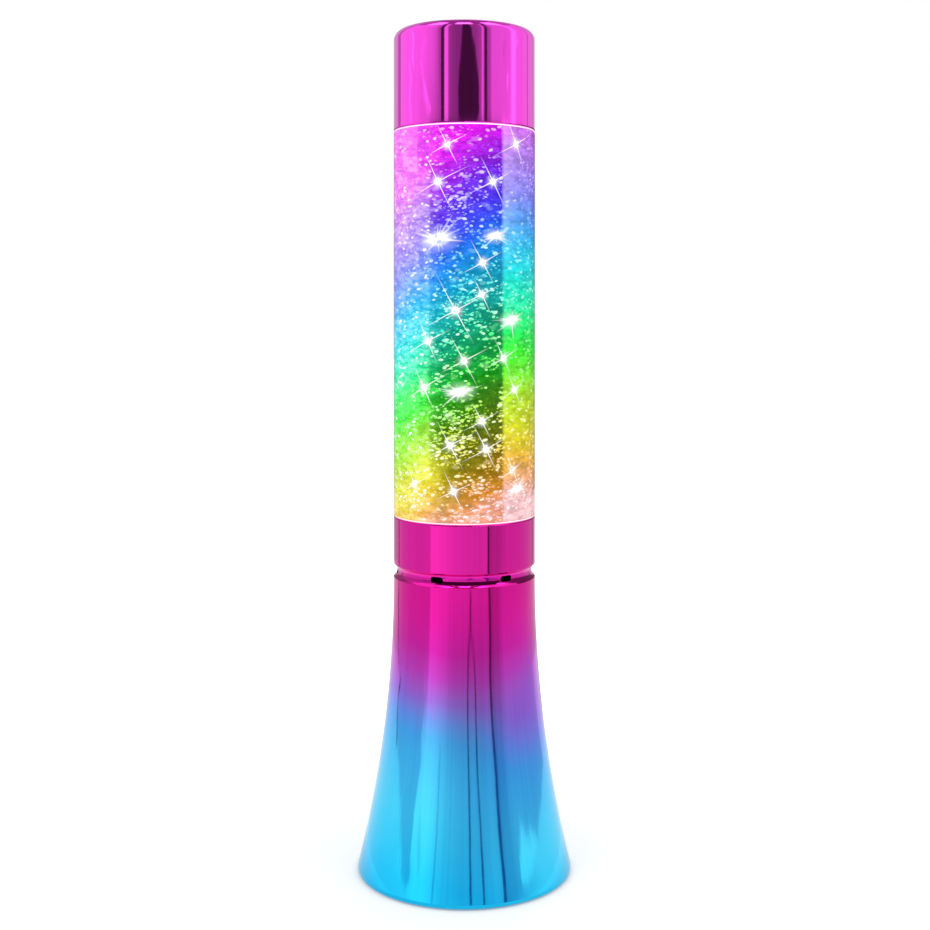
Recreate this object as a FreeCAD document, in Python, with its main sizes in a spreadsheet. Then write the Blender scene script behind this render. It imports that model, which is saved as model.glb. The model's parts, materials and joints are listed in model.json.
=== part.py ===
import FreeCAD, Part
import math
import os
import re
import Sketcher

# Glitter lamp: a flared base, a clear bottle of glitter fluid standing in its collar, and a lift-off cap.
# Millimetres. +Z is up, the front is -Y, and the origin is the centre of the footprint on the table.

document = FreeCAD.newDocument("glitter_lamp")

# Driving sizes. Each can be changed by itself.
SIZES = {
    # Outside shape
    "tube_radius": 30,
    "rim_radius": 45,
    "base_height": 124,
    "groove_height": 5.6,
    "groove_depth": 1.5,
    "collar_height": 20,
    "tube_length": 162.8,
    "cap_height": 42.4,
    "cap_round": 4,
    "edge_round": 0.5,
    "rim_lift": 0.8,
    "rim_band": 1.4,
    # Walls and clearances
    "shell_wall": 2,
    "slide_gap": 0.3,
    "seat_gap": 0.1,
    "glue_gap": 0.05,
    "running_gap": 0.05,
    # Collar
    "seam_height": 1,
    "collar_spigot": 8,
    "ledge_width": 6,
    "ledge_thick": 2.5,
    "ledge_rise": 0.4,
    "vent_width": 5.6,
    "vent_height": 2.5,
    "vent_turn": 6.7,
    "carrier_boss_radius": 2.8,
    "carrier_boss_drop": 5,
    # Feet and bottom cover
    "foot_radius": 4,
    "foot_height": 1.6,
    "foot_inset": 6.7,
    "cover_thick": 2,
    "cover_screw_inset": 6.6,
    "cover_screw_turn": 56.3,
    "cover_boss_radius": 3.5,
    "cover_boss_height": 19,
    "boss_web": 2,
    # Battery compartment
    "cell_length": 49.5,
    "cell_radius": 7.1,
    "cell_pitch": 14.6,
    "nub_radius": 2.7,
    "nub_length": 1,
    "contact_thick": 0.5,
    "contact_width": 9,
    "contact_height": 12,
    "spring_length": 4.3,
    "spring_radius": 2.8,
    "spring_wire": 0.3,
    "bay_wall": 1.2,
    "cell_gap": 0.3,
    "bay_round": 4.5,
    "bay_inner_round": 2.2,
    "door_lug_height": 8,
    "door_screw_play": 0.6,
    "grip_width": 14,
    "grip_groove": 1,
    "grip_depth": 0.5,
    "grip_pitch": 2.5,
    "door_tab_width": 9,
    "door_tab_reach": 7.5,
    "hinge_pin_radius": 0.7,
    "hinge_pin_length": 1.2,
    # Screws
    "small_screw": 0.9,
    "small_head": 1.9,
    "small_screw_length": 6,
    "large_screw": 1.3,
    "large_head": 2.7,
    "large_screw_length": 14,
    "door_screw_length": 7,
    "pan_head_height": 1.2,
    # Control board
    "board_length": 48,
    "board_depth": 32,
    "board_thick": 1.6,
    "board_shift": 2,
    "post_radius": 2.2,
    "post_height": 3.5,
    "board_screw_inset": 4,
    "socket_depth": 5,
    "socket_height": 3,
    "chip_length": 10,
    "chip_depth": 7,
    "chip_height": 1.6,
    "capacitor_radius": 3.2,
    "capacitor_height": 9,
    "capacitor_offset": 10,
    # Rear panel, switch and inlet
    "panel_width": 30,
    "panel_height": 13,
    "panel_middle": 28,
    "panel_inset": 11.2,
    "panel_wall": 2,
    "panel_rim": 1.5,
    "switch_offset": -7.5,
    "switch_travel": 4,
    "knob_width": 4.4,
    "knob_height": 2.8,
    "knob_proud": 2,
    "knob_lip": 0.8,
    "knob_lip_thick": 1.2,
    "knob_groove": 0.5,
    "switch_length": 14,
    "switch_height": 7,
    "switch_depth": 6.4,
    "inlet_offset": 7.5,
    "inlet_bore": 2.75,
    "inlet_depth": 9,
    "inlet_barrel": 3.9,
    "inlet_flange": 5.2,
    "inlet_flange_thick": 1,
    "inlet_back": 1.4,
    "inlet_pin_radius": 1.05,
    "inlet_nut": 6.4,
    "inlet_nut_thick": 2,
    # Light carrier
    "carrier_flange": 2,
    "carrier_depth": 20.5,
    "carrier_wall": 1.5,
    "window_thick": 1,
    "window_lap": 2.2,
    "led_board_height": 5,
    "led_board_thick": 1.2,
    "led_radius": 2.5,
    "led_length": 8.6,
    "led_inset": 5.6,
    "led_screw_inset": 3,
    "led_count": 6,
    "led_flange": 0.4,
    "led_post_radius": 1.8,
    "lead_hole_edge": 1.6,
    # Motor and magnetic drive
    "motor_radius": 12.2,
    "motor_length": 12.3,
    "motor_wall": 0.8,
    "motor_boss": 3,
    "motor_boss_height": 1.4,
    "motor_cap_thick": 1.2,
    "motor_magnet_gap": 0.5,
    "motor_magnet_length": 7,
    "terminal_length": 4,
    "terminal_offset": 6,
    "motor_screw_ring": 8,
    "armature_radius": 8.8,
    "shaft_radius": 1,
    "hub_radius": 9,
    "hub_thick": 5,
    "hub_lift": 14,
    "hub_room": 1.5,
    "magnet_radius": 3,
    "magnet_thick": 3,
    "magnet_ring": 5.5,
    # Bottle
    "bottle_wall": 2,
    "bottle_floor": 2.2,
    "neck_length": 11.5,
    "pin_radius": 1.5,
    "pin_length": 13,
    "pin_root": 1.4,
    "pin_boss": 1.5,
    "pin_boss_radius": 3.5,
    "clip_radius": 3.2,
    "clip_thick": 0.8,
    "wheel_radius": 16,
    "wheel_thick": 3.5,
    "blade_height": 5,
    "blade_thick": 1.6,
    "blade_count": 4,
    "wheel_hub": 4,
    "wheel_room": 1.5,
    "fill_gap": 3,
    "lid_plug": 5,
    "lid_flange": 2,
    "fill_hole": 3.5,
    "fill_head": 6,
    "fill_head_thick": 2,
    "seal_section": 1,
    # Cap
    "cap_top": 2.5,
    "rib_start": 1,
    "rib_height": 9,
    "rib_thick": 1.6,
    "rib_count": 6,
    # Leads
    "lead_radius": 0.6,
    "lead_pitch": 2.6,
    "lead_straight": 1.5,
    "lead_rise": 12,
    "lead_inset": 5,
}

# Sizes worked out from the driving ones, in the order in which they depend on each other.
WORKED = {
    # Base and collar
    "flare_height": "base_height - rim_lift - rim_band",
    "flare_round": "((rim_radius - tube_radius)^2 + flare_height^2) / (2 * (rim_radius - tube_radius))",
    "flare_centre": "tube_radius + flare_round",
    "groove_round": "((groove_height / 2)^2 + groove_depth^2) / (2 * groove_depth)",
    "groove_centre": "tube_radius - groove_depth + groove_round",
    "seam_radius": "groove_centre - sqrt(groove_round^2 - (groove_height / 2 - seam_height)^2)",
    "seam_z": "base_height + seam_height",
    "groove_bore": "tube_radius - groove_depth - shell_wall",
    "collar_bore": "tube_radius - shell_wall",
    "ledge_bore": "collar_bore - ledge_width",
    "carrier_screw_ring": "ledge_bore + carrier_boss_radius",
    "ledge_base": "groove_height - seam_height + ledge_rise",
    "ledge_top": "ledge_base + ledge_thick",
    "collar_top": "groove_height - seam_height + collar_height",
    "ledge_z": "seam_z + ledge_top",
    # Bottom cover
    "cover_z": "foot_height",
    "cover_top": "foot_height + cover_thick",
    "rebate_radius": "rim_radius - shell_wall",
    "rebate_top": "cover_top + seat_gap",
    "cover_radius": "rebate_radius - slide_gap",
    "foot_ring": "cover_radius - foot_inset",
    "cover_screw_ring": "cover_radius - cover_screw_inset",
    "cover_screw_x": "cover_screw_ring * cos(cover_screw_turn)",
    "cover_screw_y": "cover_screw_ring * sin(cover_screw_turn)",
    "rebate_inner": "flare_centre - sqrt((flare_round + shell_wall)^2 - (base_height - rebate_top)^2)",
    # Battery compartment
    "bay_length": "cell_length + nub_length + spring_length + 2 * contact_thick + 2 * seat_gap",
    "bay_depth": "3 * cell_pitch",
    "bay_height": "2 * cell_radius + 2 * cell_gap",
    "bay_top": "cover_top + bay_height + bay_wall",
    "cell_z": "cover_top + cell_gap + cell_radius",
    "cell_x": "bay_length / 2 - contact_thick - seat_gap - nub_length - cell_length / 2",
    "contact_x": "bay_length / 2 - contact_thick / 2",
    "contact_top": "cell_z + contact_height / 2",
    "door_edge": "bay_depth / 2",
    "door_screw_y": "door_edge + door_tab_reach / 2",
    "door_boss_radius": "door_tab_reach / 2 - bay_wall / 2",
    "hinge_y": "cover_thick / 2 + slide_gap - door_edge",
    "hinge_z": "cover_z + cover_thick / 2",
    # Control board
    "board_z": "bay_top + post_height",
    "board_top": "board_z + board_thick",
    "board_rear": "board_depth / 2 - board_shift",
    "panel_face": "rim_radius - panel_inset",
    "panel_back": "panel_face - panel_wall",
    "socket_width": "2 * lead_pitch",
    # Light carrier
    "carrier_radius": "ledge_bore - slide_gap",
    "carrier_bore": "carrier_radius - carrier_wall",
    "carrier_floor": "carrier_depth - carrier_wall",
    "led_ring": "carrier_bore - led_inset",
    "led_screw_ring": "carrier_bore - led_screw_inset",
    "led_board_bore": "hub_radius + hub_room",
    "lead_hole_ring": "carrier_bore - lead_pitch - lead_hole_edge",
    "motor_top": "ledge_z - carrier_depth",
    "flange_z": "ledge_z + carrier_flange",
    "led_board_z": "ledge_z - carrier_floor + led_board_height",
    "led_z": "led_board_z + led_board_thick",
    # Bottle
    "bottle_z": "seam_z + collar_top + seat_gap",
    "neck_radius": "collar_bore - slide_gap",
    "neck_bore": "neck_radius - bottle_wall",
    "tube_bore": "tube_radius - bottle_wall",
    "foot_drop": "bottle_z - ledge_z - carrier_flange - slide_gap",
    "bottle_foot_z": "bottle_z - foot_drop",
    "floor_top": "bottle_floor - foot_drop",
    "wheel_z": "bottle_foot_z + bottle_floor + pin_boss + slide_gap",
    "wheel_top": "wheel_z + wheel_thick + blade_height",
    "shoulder": "bottle_wall + tube_bore - neck_bore",
    "lid_z": "bottle_z + neck_top",
    "neck_top": "tube_length + neck_length",
    "cap_z": "bottle_z + tube_length + seat_gap",
}

sheet = document.addObject("Spreadsheet::Sheet", "Sizes")
worked = document.addObject("Spreadsheet::Sheet", "Worked")


def fill(table, entries):
    """One row for each entry: its name in column A, its value or formula in column B."""
    for row, (name, entry) in enumerate(entries, 1):
        table.set(f"A{row}", name)
        table.set(f"B{row}", entry)
        table.setAlias(f"B{row}", name)
    document.recompute()


def bound(text, in_worked=False):
    """An expression with the sheet's name before each size that it names."""
    def named(word):
        if word.group() in SIZES:
            return "Sizes." + word.group()
        if word.group() in WORKED and not in_worked:
            return "Worked." + word.group()
        return word.group()
    return re.sub(r"[a-z][a-z0-9_]*", named, str(text))


fill(sheet, [(name, str(number)) for name, number in SIZES.items()])
fill(worked, [(name, "=" + bound(text, True)) for name, text in WORKED.items()])


def value(text):
    """The number that an expression stands for."""
    return float(sheet.evalExpression(bound(text)))


def bind(item, **settings):
    """Properties of an object, each bound to an expression."""
    for name, text in settings.items():
        item.setExpression(name, bound(text))
    return item


def place(item, x="0", y="0", z="0", turn="0", axis=(0, 0, 1)):
    """An object's place, bound to expressions, and its turn in degrees about an axis."""
    item.Placement = FreeCAD.Placement(FreeCAD.Vector(), FreeCAD.Rotation(FreeCAD.Vector(*axis), value(turn)))
    item.setExpression("Placement.Base.x", bound(x))
    item.setExpression("Placement.Base.y", bound(y))
    item.setExpression("Placement.Base.z", bound(z))
    return item


# Sketches and solid bodies

def new_body(name, **where):
    return place(document.addObject("PartDesign::Body", name), **where)


def new_sketch(body, name, plane="XY", height="0"):
    """An empty sketch on one of the body's own planes, moved along that plane's normal by height."""
    sketch = body.newObject("Sketcher::SketchObject", name)
    for feature in body.Origin.OriginFeatures:
        if feature.Role == plane + "_Plane":
            sketch.AttachmentSupport = (feature, [""])
    sketch.MapMode = "FlatFace"
    sketch.setExpression("AttachmentOffset.Base.z", bound(height))
    return sketch


def hold(sketch, kind, *target_and_text):
    """A constraint whose size follows an expression."""
    *target, text = target_and_text
    number = sketch.addConstraint(Sketcher.Constraint(kind, *target, value(text)))
    sketch.setExpression(f"Constraints[{number}]", bound(text))


def outline(sketch, corners):
    """A closed outline. A corner is (across, up), or (across, up, round, side) where an arc of that radius
    runs to the next corner with its centre on the named side of the way."""
    points = [FreeCAD.Vector(value(corner[0]), value(corner[1]), 0) for corner in corners]
    first = sketch.GeometryCount
    starts = []
    ends = []
    for index, corner in enumerate(corners):
        start = points[index]
        end = points[(index + 1) % len(points)]
        if len(corner) == 2:
            edge = Part.LineSegment(start, end)
            forward = True
        else:
            forward = corner[3] == "left"
            chord = end - start
            across = FreeCAD.Vector(-chord.y, chord.x, 0).normalize() * (1 if forward else -1)
            radius = value(corner[2])
            centre = (start + end) * 0.5 + across * math.sqrt(max(radius**2 - chord.Length**2 / 4, 0))
            angles = [math.atan2(point.y - centre.y, point.x - centre.x) for point in (start, end)]
            if not forward:
                angles.reverse()
            if angles[1] < angles[0]:
                angles[1] += 2 * math.pi
            edge = Part.ArcOfCircle(Part.Circle(centre, FreeCAD.Vector(0, 0, 1), radius), *angles)
        sketch.addGeometry(edge, False)
        starts.append(1 if forward else 2)
        ends.append(2 if forward else 1)
    for index, corner in enumerate(corners):
        after = (index + 1) % len(corners)
        edge = first + index
        sketch.addConstraint(
            Sketcher.Constraint("Coincident", edge, ends[index], first + after, starts[after]))
        hold(sketch, "DistanceX", -1, 1, edge, starts[index], corner[0])
        hold(sketch, "DistanceY", -1, 1, edge, starts[index], corner[1])
        if len(corner) > 2:
            hold(sketch, "Radius", edge, corner[2])


def rectangle(sketch, width, depth, x="0", y="0"):
    left, right = f"{x} - ({width}) / 2", f"{x} + ({width}) / 2"
    low, high = f"{y} - ({depth}) / 2", f"{y} + ({depth}) / 2"
    outline(sketch, [(left, low), (right, low), (right, high), (left, high)])


def rounded_rectangle(sketch, width, depth, corner):
    """A centred rectangle with round corners."""
    across, along = f"({width}) / 2", f"({depth}) / 2"
    short_across, short_along = f"({width}) / 2 - {corner}", f"({depth}) / 2 - {corner}"
    outline(sketch, [
        ("-(" + short_across + ")", "-" + along),
        (short_across, "-" + along, corner, "left"),
        (across, "-(" + short_along + ")"),
        (across, short_along, corner, "left"),
        (short_across, along),
        ("-(" + short_across + ")", along, corner, "left"),
        ("-" + across, short_along),
        ("-" + across, "-(" + short_along + ")", corner, "left"),
    ])


def slot(sketch, width, height, y):
    """A slot with round ends, level and centred across."""
    radius = value(height) / 2
    middle = value(y)
    reach = value(width) / 2 - radius
    upright = FreeCAD.Vector(0, 0, 1)
    for side, start in ((-1, math.pi / 2), (1, -math.pi / 2)):
        end_circle = Part.Circle(FreeCAD.Vector(side * reach, middle, 0), upright, radius)
        sketch.addGeometry(Part.ArcOfCircle(end_circle, start, start + math.pi), False)
        side_y = middle + side * radius
        sketch.addGeometry(Part.LineSegment(
            FreeCAD.Vector(side * reach, side_y, 0), FreeCAD.Vector(-side * reach, side_y, 0)), False)
    for edge in range(4):
        after = (edge + 1) % 4
        sketch.addConstraint(Sketcher.Constraint("Tangent", edge, 2, after, 1))
    hold(sketch, "Radius", 0, f"({height}) / 2")
    hold(sketch, "DistanceX", -1, 1, 0, 3, f"-(({width}) - ({height})) / 2")
    hold(sketch, "DistanceX", -1, 1, 2, 3, f"(({width}) - ({height})) / 2")
    hold(sketch, "DistanceY", -1, 1, 0, 3, y)
    hold(sketch, "DistanceY", -1, 1, 2, 3, y)


def circle(sketch, radius, x="0", y="0"):
    centre = FreeCAD.Vector(value(x), value(y), 0)
    edge = sketch.addGeometry(Part.Circle(centre, FreeCAD.Vector(0, 0, 1), value(radius)), False)
    hold(sketch, "Radius", edge, radius)
    hold(sketch, "DistanceX", -1, 1, edge, 3, x)
    hold(sketch, "DistanceY", -1, 1, edge, 3, y)


def turned(name, corners, **where):
    """A body turned about its own Z axis. Its corners are (radius, height)."""
    body = new_body(name, **where)
    profile = new_sketch(body, name + "_profile", "XZ")
    outline(profile, corners)
    feature = body.newObject("PartDesign::Revolution", name + "_turned")
    feature.Profile = profile
    feature.ReferenceAxis = (profile, ["V_Axis"])
    feature.Angle = 360
    document.recompute()
    return body


def pad(body, sketch, length, name):
    feature = body.newObject("PartDesign::Pad", name)
    feature.Profile = sketch
    feature.setExpression("Length", bound(length))
    document.recompute()
    return feature


def pocket(body, sketch, length, name, upwards=False):
    """A cut from the sketch into the body. It is an error if it takes nothing away."""
    before = body.Shape.Volume
    feature = body.newObject("PartDesign::Pocket", name)
    feature.Profile = sketch
    feature.setExpression("Length", bound(length))
    feature.Reversed = upwards
    document.recompute()
    if body.Shape.Volume >= before:
        raise ValueError(name + " cuts nothing")
    return feature


def around(body, feature, sketch, count, name):
    """Copies of a feature round the sketch's own axis, evenly spaced."""
    pattern = body.newObject("PartDesign::PolarPattern", name)
    pattern.Originals = [feature]
    pattern.Axis = (sketch, ["N_Axis"] if "XY" in sketch.AttachmentSupport[0][0].Role else ["V_Axis"])
    pattern.Angle = 360
    pattern.setExpression("Occurrences", bound(count))
    body.Tip = pattern
    document.recompute()
    return pattern


# Primitive solids and what joins them

def box(name, width, depth, height, **where):
    """A box centred in X and Y on its place and standing on it."""
    item = document.addObject("Part::Box", name)
    bind(item, Length=width, Width=depth, Height=height)
    x = f"{where.pop('x', '0')} - ({width}) / 2"
    y = f"{where.pop('y', '0')} - ({depth}) / 2"
    return place(item, x=x, y=y, **where)


def cylinder(name, radius, height, **where):
    return place(bind(document.addObject("Part::Cylinder", name), Radius=radius, Height=height), **where)


def cone(name, low_radius, high_radius, height, **where):
    item = document.addObject("Part::Cone", name)
    return place(bind(item, Radius1=low_radius, Radius2=high_radius, Height=height), **where)


def fuse(name, items):
    item = document.addObject("Part::MultiFuse", name)
    item.Shapes = items
    item.Refine = True
    return item


def common(name, items):
    item = document.addObject("Part::MultiCommon", name)
    item.Shapes = items
    return item


def cut(name, base, tools):
    item = document.addObject("Part::Cut", name)
    item.Base = base
    item.Tool = tools[0] if len(tools) == 1 else fuse(name + "_cuts", tools)
    item.Refine = True
    return item


def group(name, items):
    """Separate solids that share one node."""
    item = document.addObject("Part::Compound", name)
    item.Links = items
    return item


def copies(name, item, places):
    """A group of one sub-part at several places."""
    links = []
    for number, where in enumerate(places, 1):
        link = document.addObject("App::Link", f"{name}_{number}")
        link.LinkedObject = item
        link.LinkTransform = False
        links.append(place(link, **where))
    return group(name, links)


# Screws. Each points down from its own origin, where its head meets the surface.

def driver_cross(name, head, top):
    """The two crossed slots for the driver in a screw head."""
    return [
        box(f"{name}_slot_{way}", f"1.2 * {head} * {long}", f"1.2 * {head} * {wide}", f"{head} / 2",
            z=f"{top} - {head} / 3")
        for way, long, wide in (("across", "1", "0.25"), ("along", "0.25", "1"))
    ]


def countersunk_screw(name, head, shank, length):
    head_cone = cone(name + "_head", shank, head, f"{head} - {shank}", z=f"{shank} - {head}")
    stem = cylinder(name + "_stem", shank, length, z=f"-({length})")
    stem_and_head = fuse(name + "_blank", [head_cone, stem])
    return cut(name, stem_and_head, driver_cross(name, head, "0"))


def pan_screw(name, head, shank, length):
    head_disc = cylinder(name + "_head", head, "pan_head_height")
    stem = cylinder(name + "_stem", shank, f"{length} + pan_head_height / 2", z=f"-({length})")
    stem_and_head = fuse(name + "_blank", [head_disc, stem])
    return cut(name, stem_and_head, driver_cross(name, head, "pan_head_height"))


def countersink(name, head, shank, depth, **where):
    """The hole for a countersunk screw: its cone, and a clear way through the wall."""
    room = "running_gap"
    way = cylinder(name + "_way", f"{shank} + {room}", f"2 * ({depth})", z=f"-1.5 * ({depth})")
    sink = cone(name + "_cone", f"{shank} + {room}", f"{head} + {room}", f"{head} - {shank}",
                z=f"{shank} - {head}")
    return place(group(name, [way, sink]), **where)


# Leads: straight runs joined by tangent arcs

def lead_path(points):
    """A wire through points, and its tightest radius. Each arc takes 0.45 of the shorter of its two runs."""
    edges = []
    radii = []
    last = points[0]
    for before, corner, after in zip(points, points[1:], points[2:]):
        way_in = (corner - before).normalize()
        way_out = (after - corner).normalize()
        reach = 0.45 * min((corner - before).Length, (after - corner).Length)
        half_turn = way_in.getAngle(way_out) / 2
        radius = reach / math.tan(half_turn)
        inwards = (way_out - way_in).normalize()
        arc_start = corner - way_in * reach
        arc_end = corner + way_out * reach
        arc_middle = corner + inwards * (radius / math.cos(half_turn) - radius)
        edges.append(Part.LineSegment(last, arc_start).toShape())
        edges.append(Part.Arc(arc_start, arc_middle, arc_end).toShape())
        radii.append(radius)
        last = arc_end
    edges.append(Part.LineSegment(last, points[-1]).toShape())
    return Part.Wire(edges), min(radii)


def leads(name, routes):
    """Insulated wires along their routes, each a list of corners (x, y, z)."""
    radius = value("lead_radius")
    tubes = []
    for route in routes:
        points = [FreeCAD.Vector(*(value(text) for text in corner)) for corner in route]
        path, tightest = lead_path(points)
        section = Part.Wire(Part.makeCircle(radius, points[0], points[1] - points[0]))
        tube = path.makePipeShell([section], True, False)
        expected = math.pi * radius**2 * path.Length
        if abs(tube.Volume - expected) > 0.02 * expected:
            raise ValueError(name + " is not a plain tube")
        print(f"{name}: {path.Length:.1f} mm long, tightest bend {tightest:.1f} mm")
        tubes.append(tube)
    item = document.addObject("Part::Feature", name)
    item.Shape = Part.makeCompound(tubes)
    return item


parts = []


def part(item, label=None):
    """Keeps an object as a sub-part. Its label names its file."""
    item.Label = label or item.Name
    parts.append(item)
    return item


# Base shell: the flare, open below, with a rebate for the bottom cover

def flare_inside(round_radius, height):
    """The radius at a height of a wall that is concentric with the outside of the flare."""
    return f"flare_centre - sqrt(({round_radius})^2 - (base_height - ({height}))^2)"


def flare_solid(name, inset):
    """The flare as a full solid, its outside drawn in by inset."""
    round_radius = f"flare_round + {inset}"
    low = "rim_lift + rim_band"
    return turned(name, [
        ("0", "rim_lift"),
        (flare_inside(round_radius, low), "rim_lift"),
        (flare_inside(round_radius, low), low, round_radius, "right"),
        (f"tube_radius - {inset}", "base_height", "groove_round", "right"),
        (f"seam_radius - {inset}", "seam_z"),
        ("0", "seam_z"),
    ])


flare_outside = flare_solid("flare_outside", "0")
flare_core = turned("flare_core", [
    ("0", "rim_lift"),
    (flare_inside("flare_round + shell_wall / 2", "rim_lift"), "rim_lift",
     "flare_round + shell_wall / 2", "right"),
    ("tube_radius - shell_wall / 2", "base_height"),
    ("0", "base_height"),
])
flare_space = turned("flare_space", [
    ("0", "0"),
    ("rebate_radius", "0"),
    ("rebate_radius", "rebate_top"),
    ("rebate_inner", "rebate_top", "flare_round + shell_wall", "right"),
    ("collar_bore", "base_height"),
    ("collar_bore", "base_height + 2 * seam_height"),
    ("0", "base_height + 2 * seam_height"),
])
cover_screw_places = [
    {"x": side + "cover_screw_x", "y": end + "cover_screw_y"} for side in ("", "-") for end in ("", "-")
]
bosses = [
    cylinder(f"cover_boss_{number}", "cover_boss_radius", "cover_boss_height", z="rebate_top", **where)
    for number, where in enumerate(cover_screw_places, 1)
]
# Each boss has a web that ties it to the shell's wall.
webs = []
for number, (side, end) in enumerate((side, end) for side in (1, -1) for end in (1, -1)):
    web = document.addObject("Part::Box", f"boss_web_{number}")
    bind(web, Length="rim_radius", Width="boss_web", Height="cover_boss_height")
    angle = f"({90 - 90 * side} + {side * end} * cover_screw_turn)"
    webs.append(place(web, x=f"{side} * cover_screw_x + boss_web / 2 * sin({angle})",
                      y=f"{end} * cover_screw_y - boss_web / 2 * cos({angle})", z="rebate_top", turn=angle))
boss_holes = [
    cylinder(f"cover_boss_hole_{number}", "large_screw + running_gap", "cover_boss_height - shell_wall",
             z="rebate_top", **where)
    for number, where in enumerate(cover_screw_places, 1)
]
panel_block = box("panel_block", "panel_width + 2 * panel_rim", "rim_radius - panel_face + panel_wall",
                  "panel_height + 2 * panel_rim", y="(rim_radius + panel_face - panel_wall) / 2",
                  z="panel_middle - panel_height / 2 - panel_rim")
panel_recess = box("panel_recess", "panel_width", "rim_radius - panel_face", "panel_height",
                   y="(rim_radius + panel_face) / 2", z="panel_middle - panel_height / 2")
knob_slot = box("knob_slot", "knob_width + switch_travel + 2 * slide_gap", "4 * panel_wall",
                "knob_height + 2 * slide_gap", x="switch_offset", y="panel_face - panel_wall / 2",
                z="panel_middle - knob_height / 2 - slide_gap")
inlet_hole = cylinder("inlet_hole", "inlet_barrel + glue_gap", "4 * panel_wall", x="inlet_offset",
                      y="panel_face + panel_wall", z="panel_middle", turn="90", axis=(1, 0, 0))
flare_wall = cut("flare_wall", flare_outside, [flare_space])
inner_blocks = common("inner_blocks", [fuse("inner_posts", bosses + webs + [panel_block]), flare_core])
part(cut("base_shell", fuse("base_blank", [flare_wall, inner_blocks]),
         boss_holes + [panel_recess, knob_slot, inlet_hole]))

# Collar: plugs into the base shell, carries the vents, the ledge for the light and the bottle's seat

collar = turned("collar", [
    ("groove_bore", "-collar_spigot"),
    ("collar_bore - glue_gap", "-collar_spigot"),
    ("collar_bore - glue_gap", "0"),
    ("seam_radius", "0", "groove_round", "right"),
    ("tube_radius", "groove_height - seam_height"),
    ("tube_radius", "collar_top - edge_round", "edge_round", "left"),
    ("tube_radius - edge_round", "collar_top"),
    ("collar_bore", "collar_top"),
    ("collar_bore", "ledge_top"),
    ("ledge_bore", "ledge_top"),
    ("ledge_bore", "ledge_base"),
    ("groove_bore", "ledge_base"),
], z="seam_z", turn="vent_turn")
vent = new_sketch(collar, "vent_outline", "YZ")
slot(vent, "vent_width", "vent_height", "groove_height / 2 - seam_height")
vent_cut = pocket(collar, vent, "2 * tube_radius", "vent_slot")
around(collar, vent_cut, vent, "6", "vent_slots")
carrier_boss = new_sketch(collar, "carrier_boss_outline", "XY", "ledge_base - carrier_boss_drop")
circle(carrier_boss, "carrier_boss_radius", x="carrier_screw_ring * cos(30)",
       y="carrier_screw_ring * sin(30)")
boss_pad = pad(collar, carrier_boss, "carrier_boss_drop + ledge_thick", "carrier_boss")
around(collar, boss_pad, carrier_boss, "3", "carrier_bosses")
carrier_hole = new_sketch(collar, "carrier_hole_outline", "XY", "ledge_top")
circle(carrier_hole, "small_screw + running_gap", x="carrier_screw_ring * cos(30)",
       y="carrier_screw_ring * sin(30)")
hole_cut = pocket(collar, carrier_hole, "carrier_boss_drop + ledge_thick / 2", "carrier_hole")
around(collar, hole_cut, carrier_hole, "3", "carrier_holes")
part(collar)

# Bottom cover: closes the base, holds the battery compartment, and carries the control board on posts

cover = new_body("cover_body", z="cover_z")
cover_outline = new_sketch(cover, "cover_outline")
circle(cover_outline, "cover_radius")
pad(cover, cover_outline, "cover_thick", "cover_disc")
bay_outline = new_sketch(cover, "bay_outline")
rounded_rectangle(bay_outline, "bay_length + 2 * bay_wall", "bay_depth + 2 * bay_wall", "bay_round")
pad(cover, bay_outline, "bay_top - cover_z", "bay_walls")
lug_outline = new_sketch(cover, "door_lug_outline")
circle(lug_outline, "door_boss_radius", y="door_screw_y")
pad(cover, lug_outline, "cover_thick + door_lug_height", "door_lug")
post_outline = new_sketch(cover, "board_post_outline", height="bay_top - cover_z")
hole_outline = new_sketch(cover, "board_post_hole_outline", height="board_z - cover_z")
board_screw_places = [
    {"x": side + "(board_length / 2 - board_screw_inset)",
     "y": end + "(board_depth / 2 - board_screw_inset) - board_shift"} for side in "+-" for end in "+-"
]
for where in board_screw_places:
    circle(post_outline, "post_radius", **where)
    circle(hole_outline, "small_screw + running_gap", **where)
pad(cover, post_outline, "post_height", "board_posts")
door_space = new_sketch(cover, "door_space_outline")
rectangle(door_space, "bay_length", "bay_depth")
pocket(cover, door_space, "cover_thick", "door_space", upwards=True)
bay_space = new_sketch(cover, "bay_space_outline", height="cover_thick")
rounded_rectangle(bay_space, "bay_length", "bay_depth", "bay_inner_round")
pocket(cover, bay_space, "bay_height", "bay_space", upwards=True)
tab_space = new_sketch(cover, "door_tab_space_outline")
rectangle(tab_space, "door_tab_width + 2 * slide_gap", "door_tab_reach + slide_gap + bay_wall",
          y="door_edge + (door_tab_reach + slide_gap - bay_wall) / 2")
pocket(cover, tab_space, "cover_thick", "door_tab_space", upwards=True)
pocket(cover, hole_outline, "post_height - board_thick / 4", "board_post_holes")
lug_hole = new_sketch(cover, "door_lug_hole_outline", height="cover_thick")
circle(lug_hole, "large_screw + door_screw_play", y="door_screw_y")
pocket(cover, lug_hole, "door_lug_height - bay_wall", "door_lug_hole", upwards=True)
lead_places = [("-", "-"), ("+", "+")]
lead_hole = new_sketch(cover, "battery_lead_hole_outline", height="bay_top - cover_z")
for side, end in lead_places:
    circle(lead_hole, "lead_radius + slide_gap", x=side + "(contact_x - contact_thick)",
           y=end + "cell_pitch")
pocket(cover, lead_hole, "2 * bay_wall", "battery_lead_holes")
sinks = [
    countersink(f"cover_sink_{number}", "large_head", "large_screw", "cover_thick",
                z="cover_z", turn="180", axis=(1, 0, 0), **where)
    for number, where in enumerate(cover_screw_places, 1)
]


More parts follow.
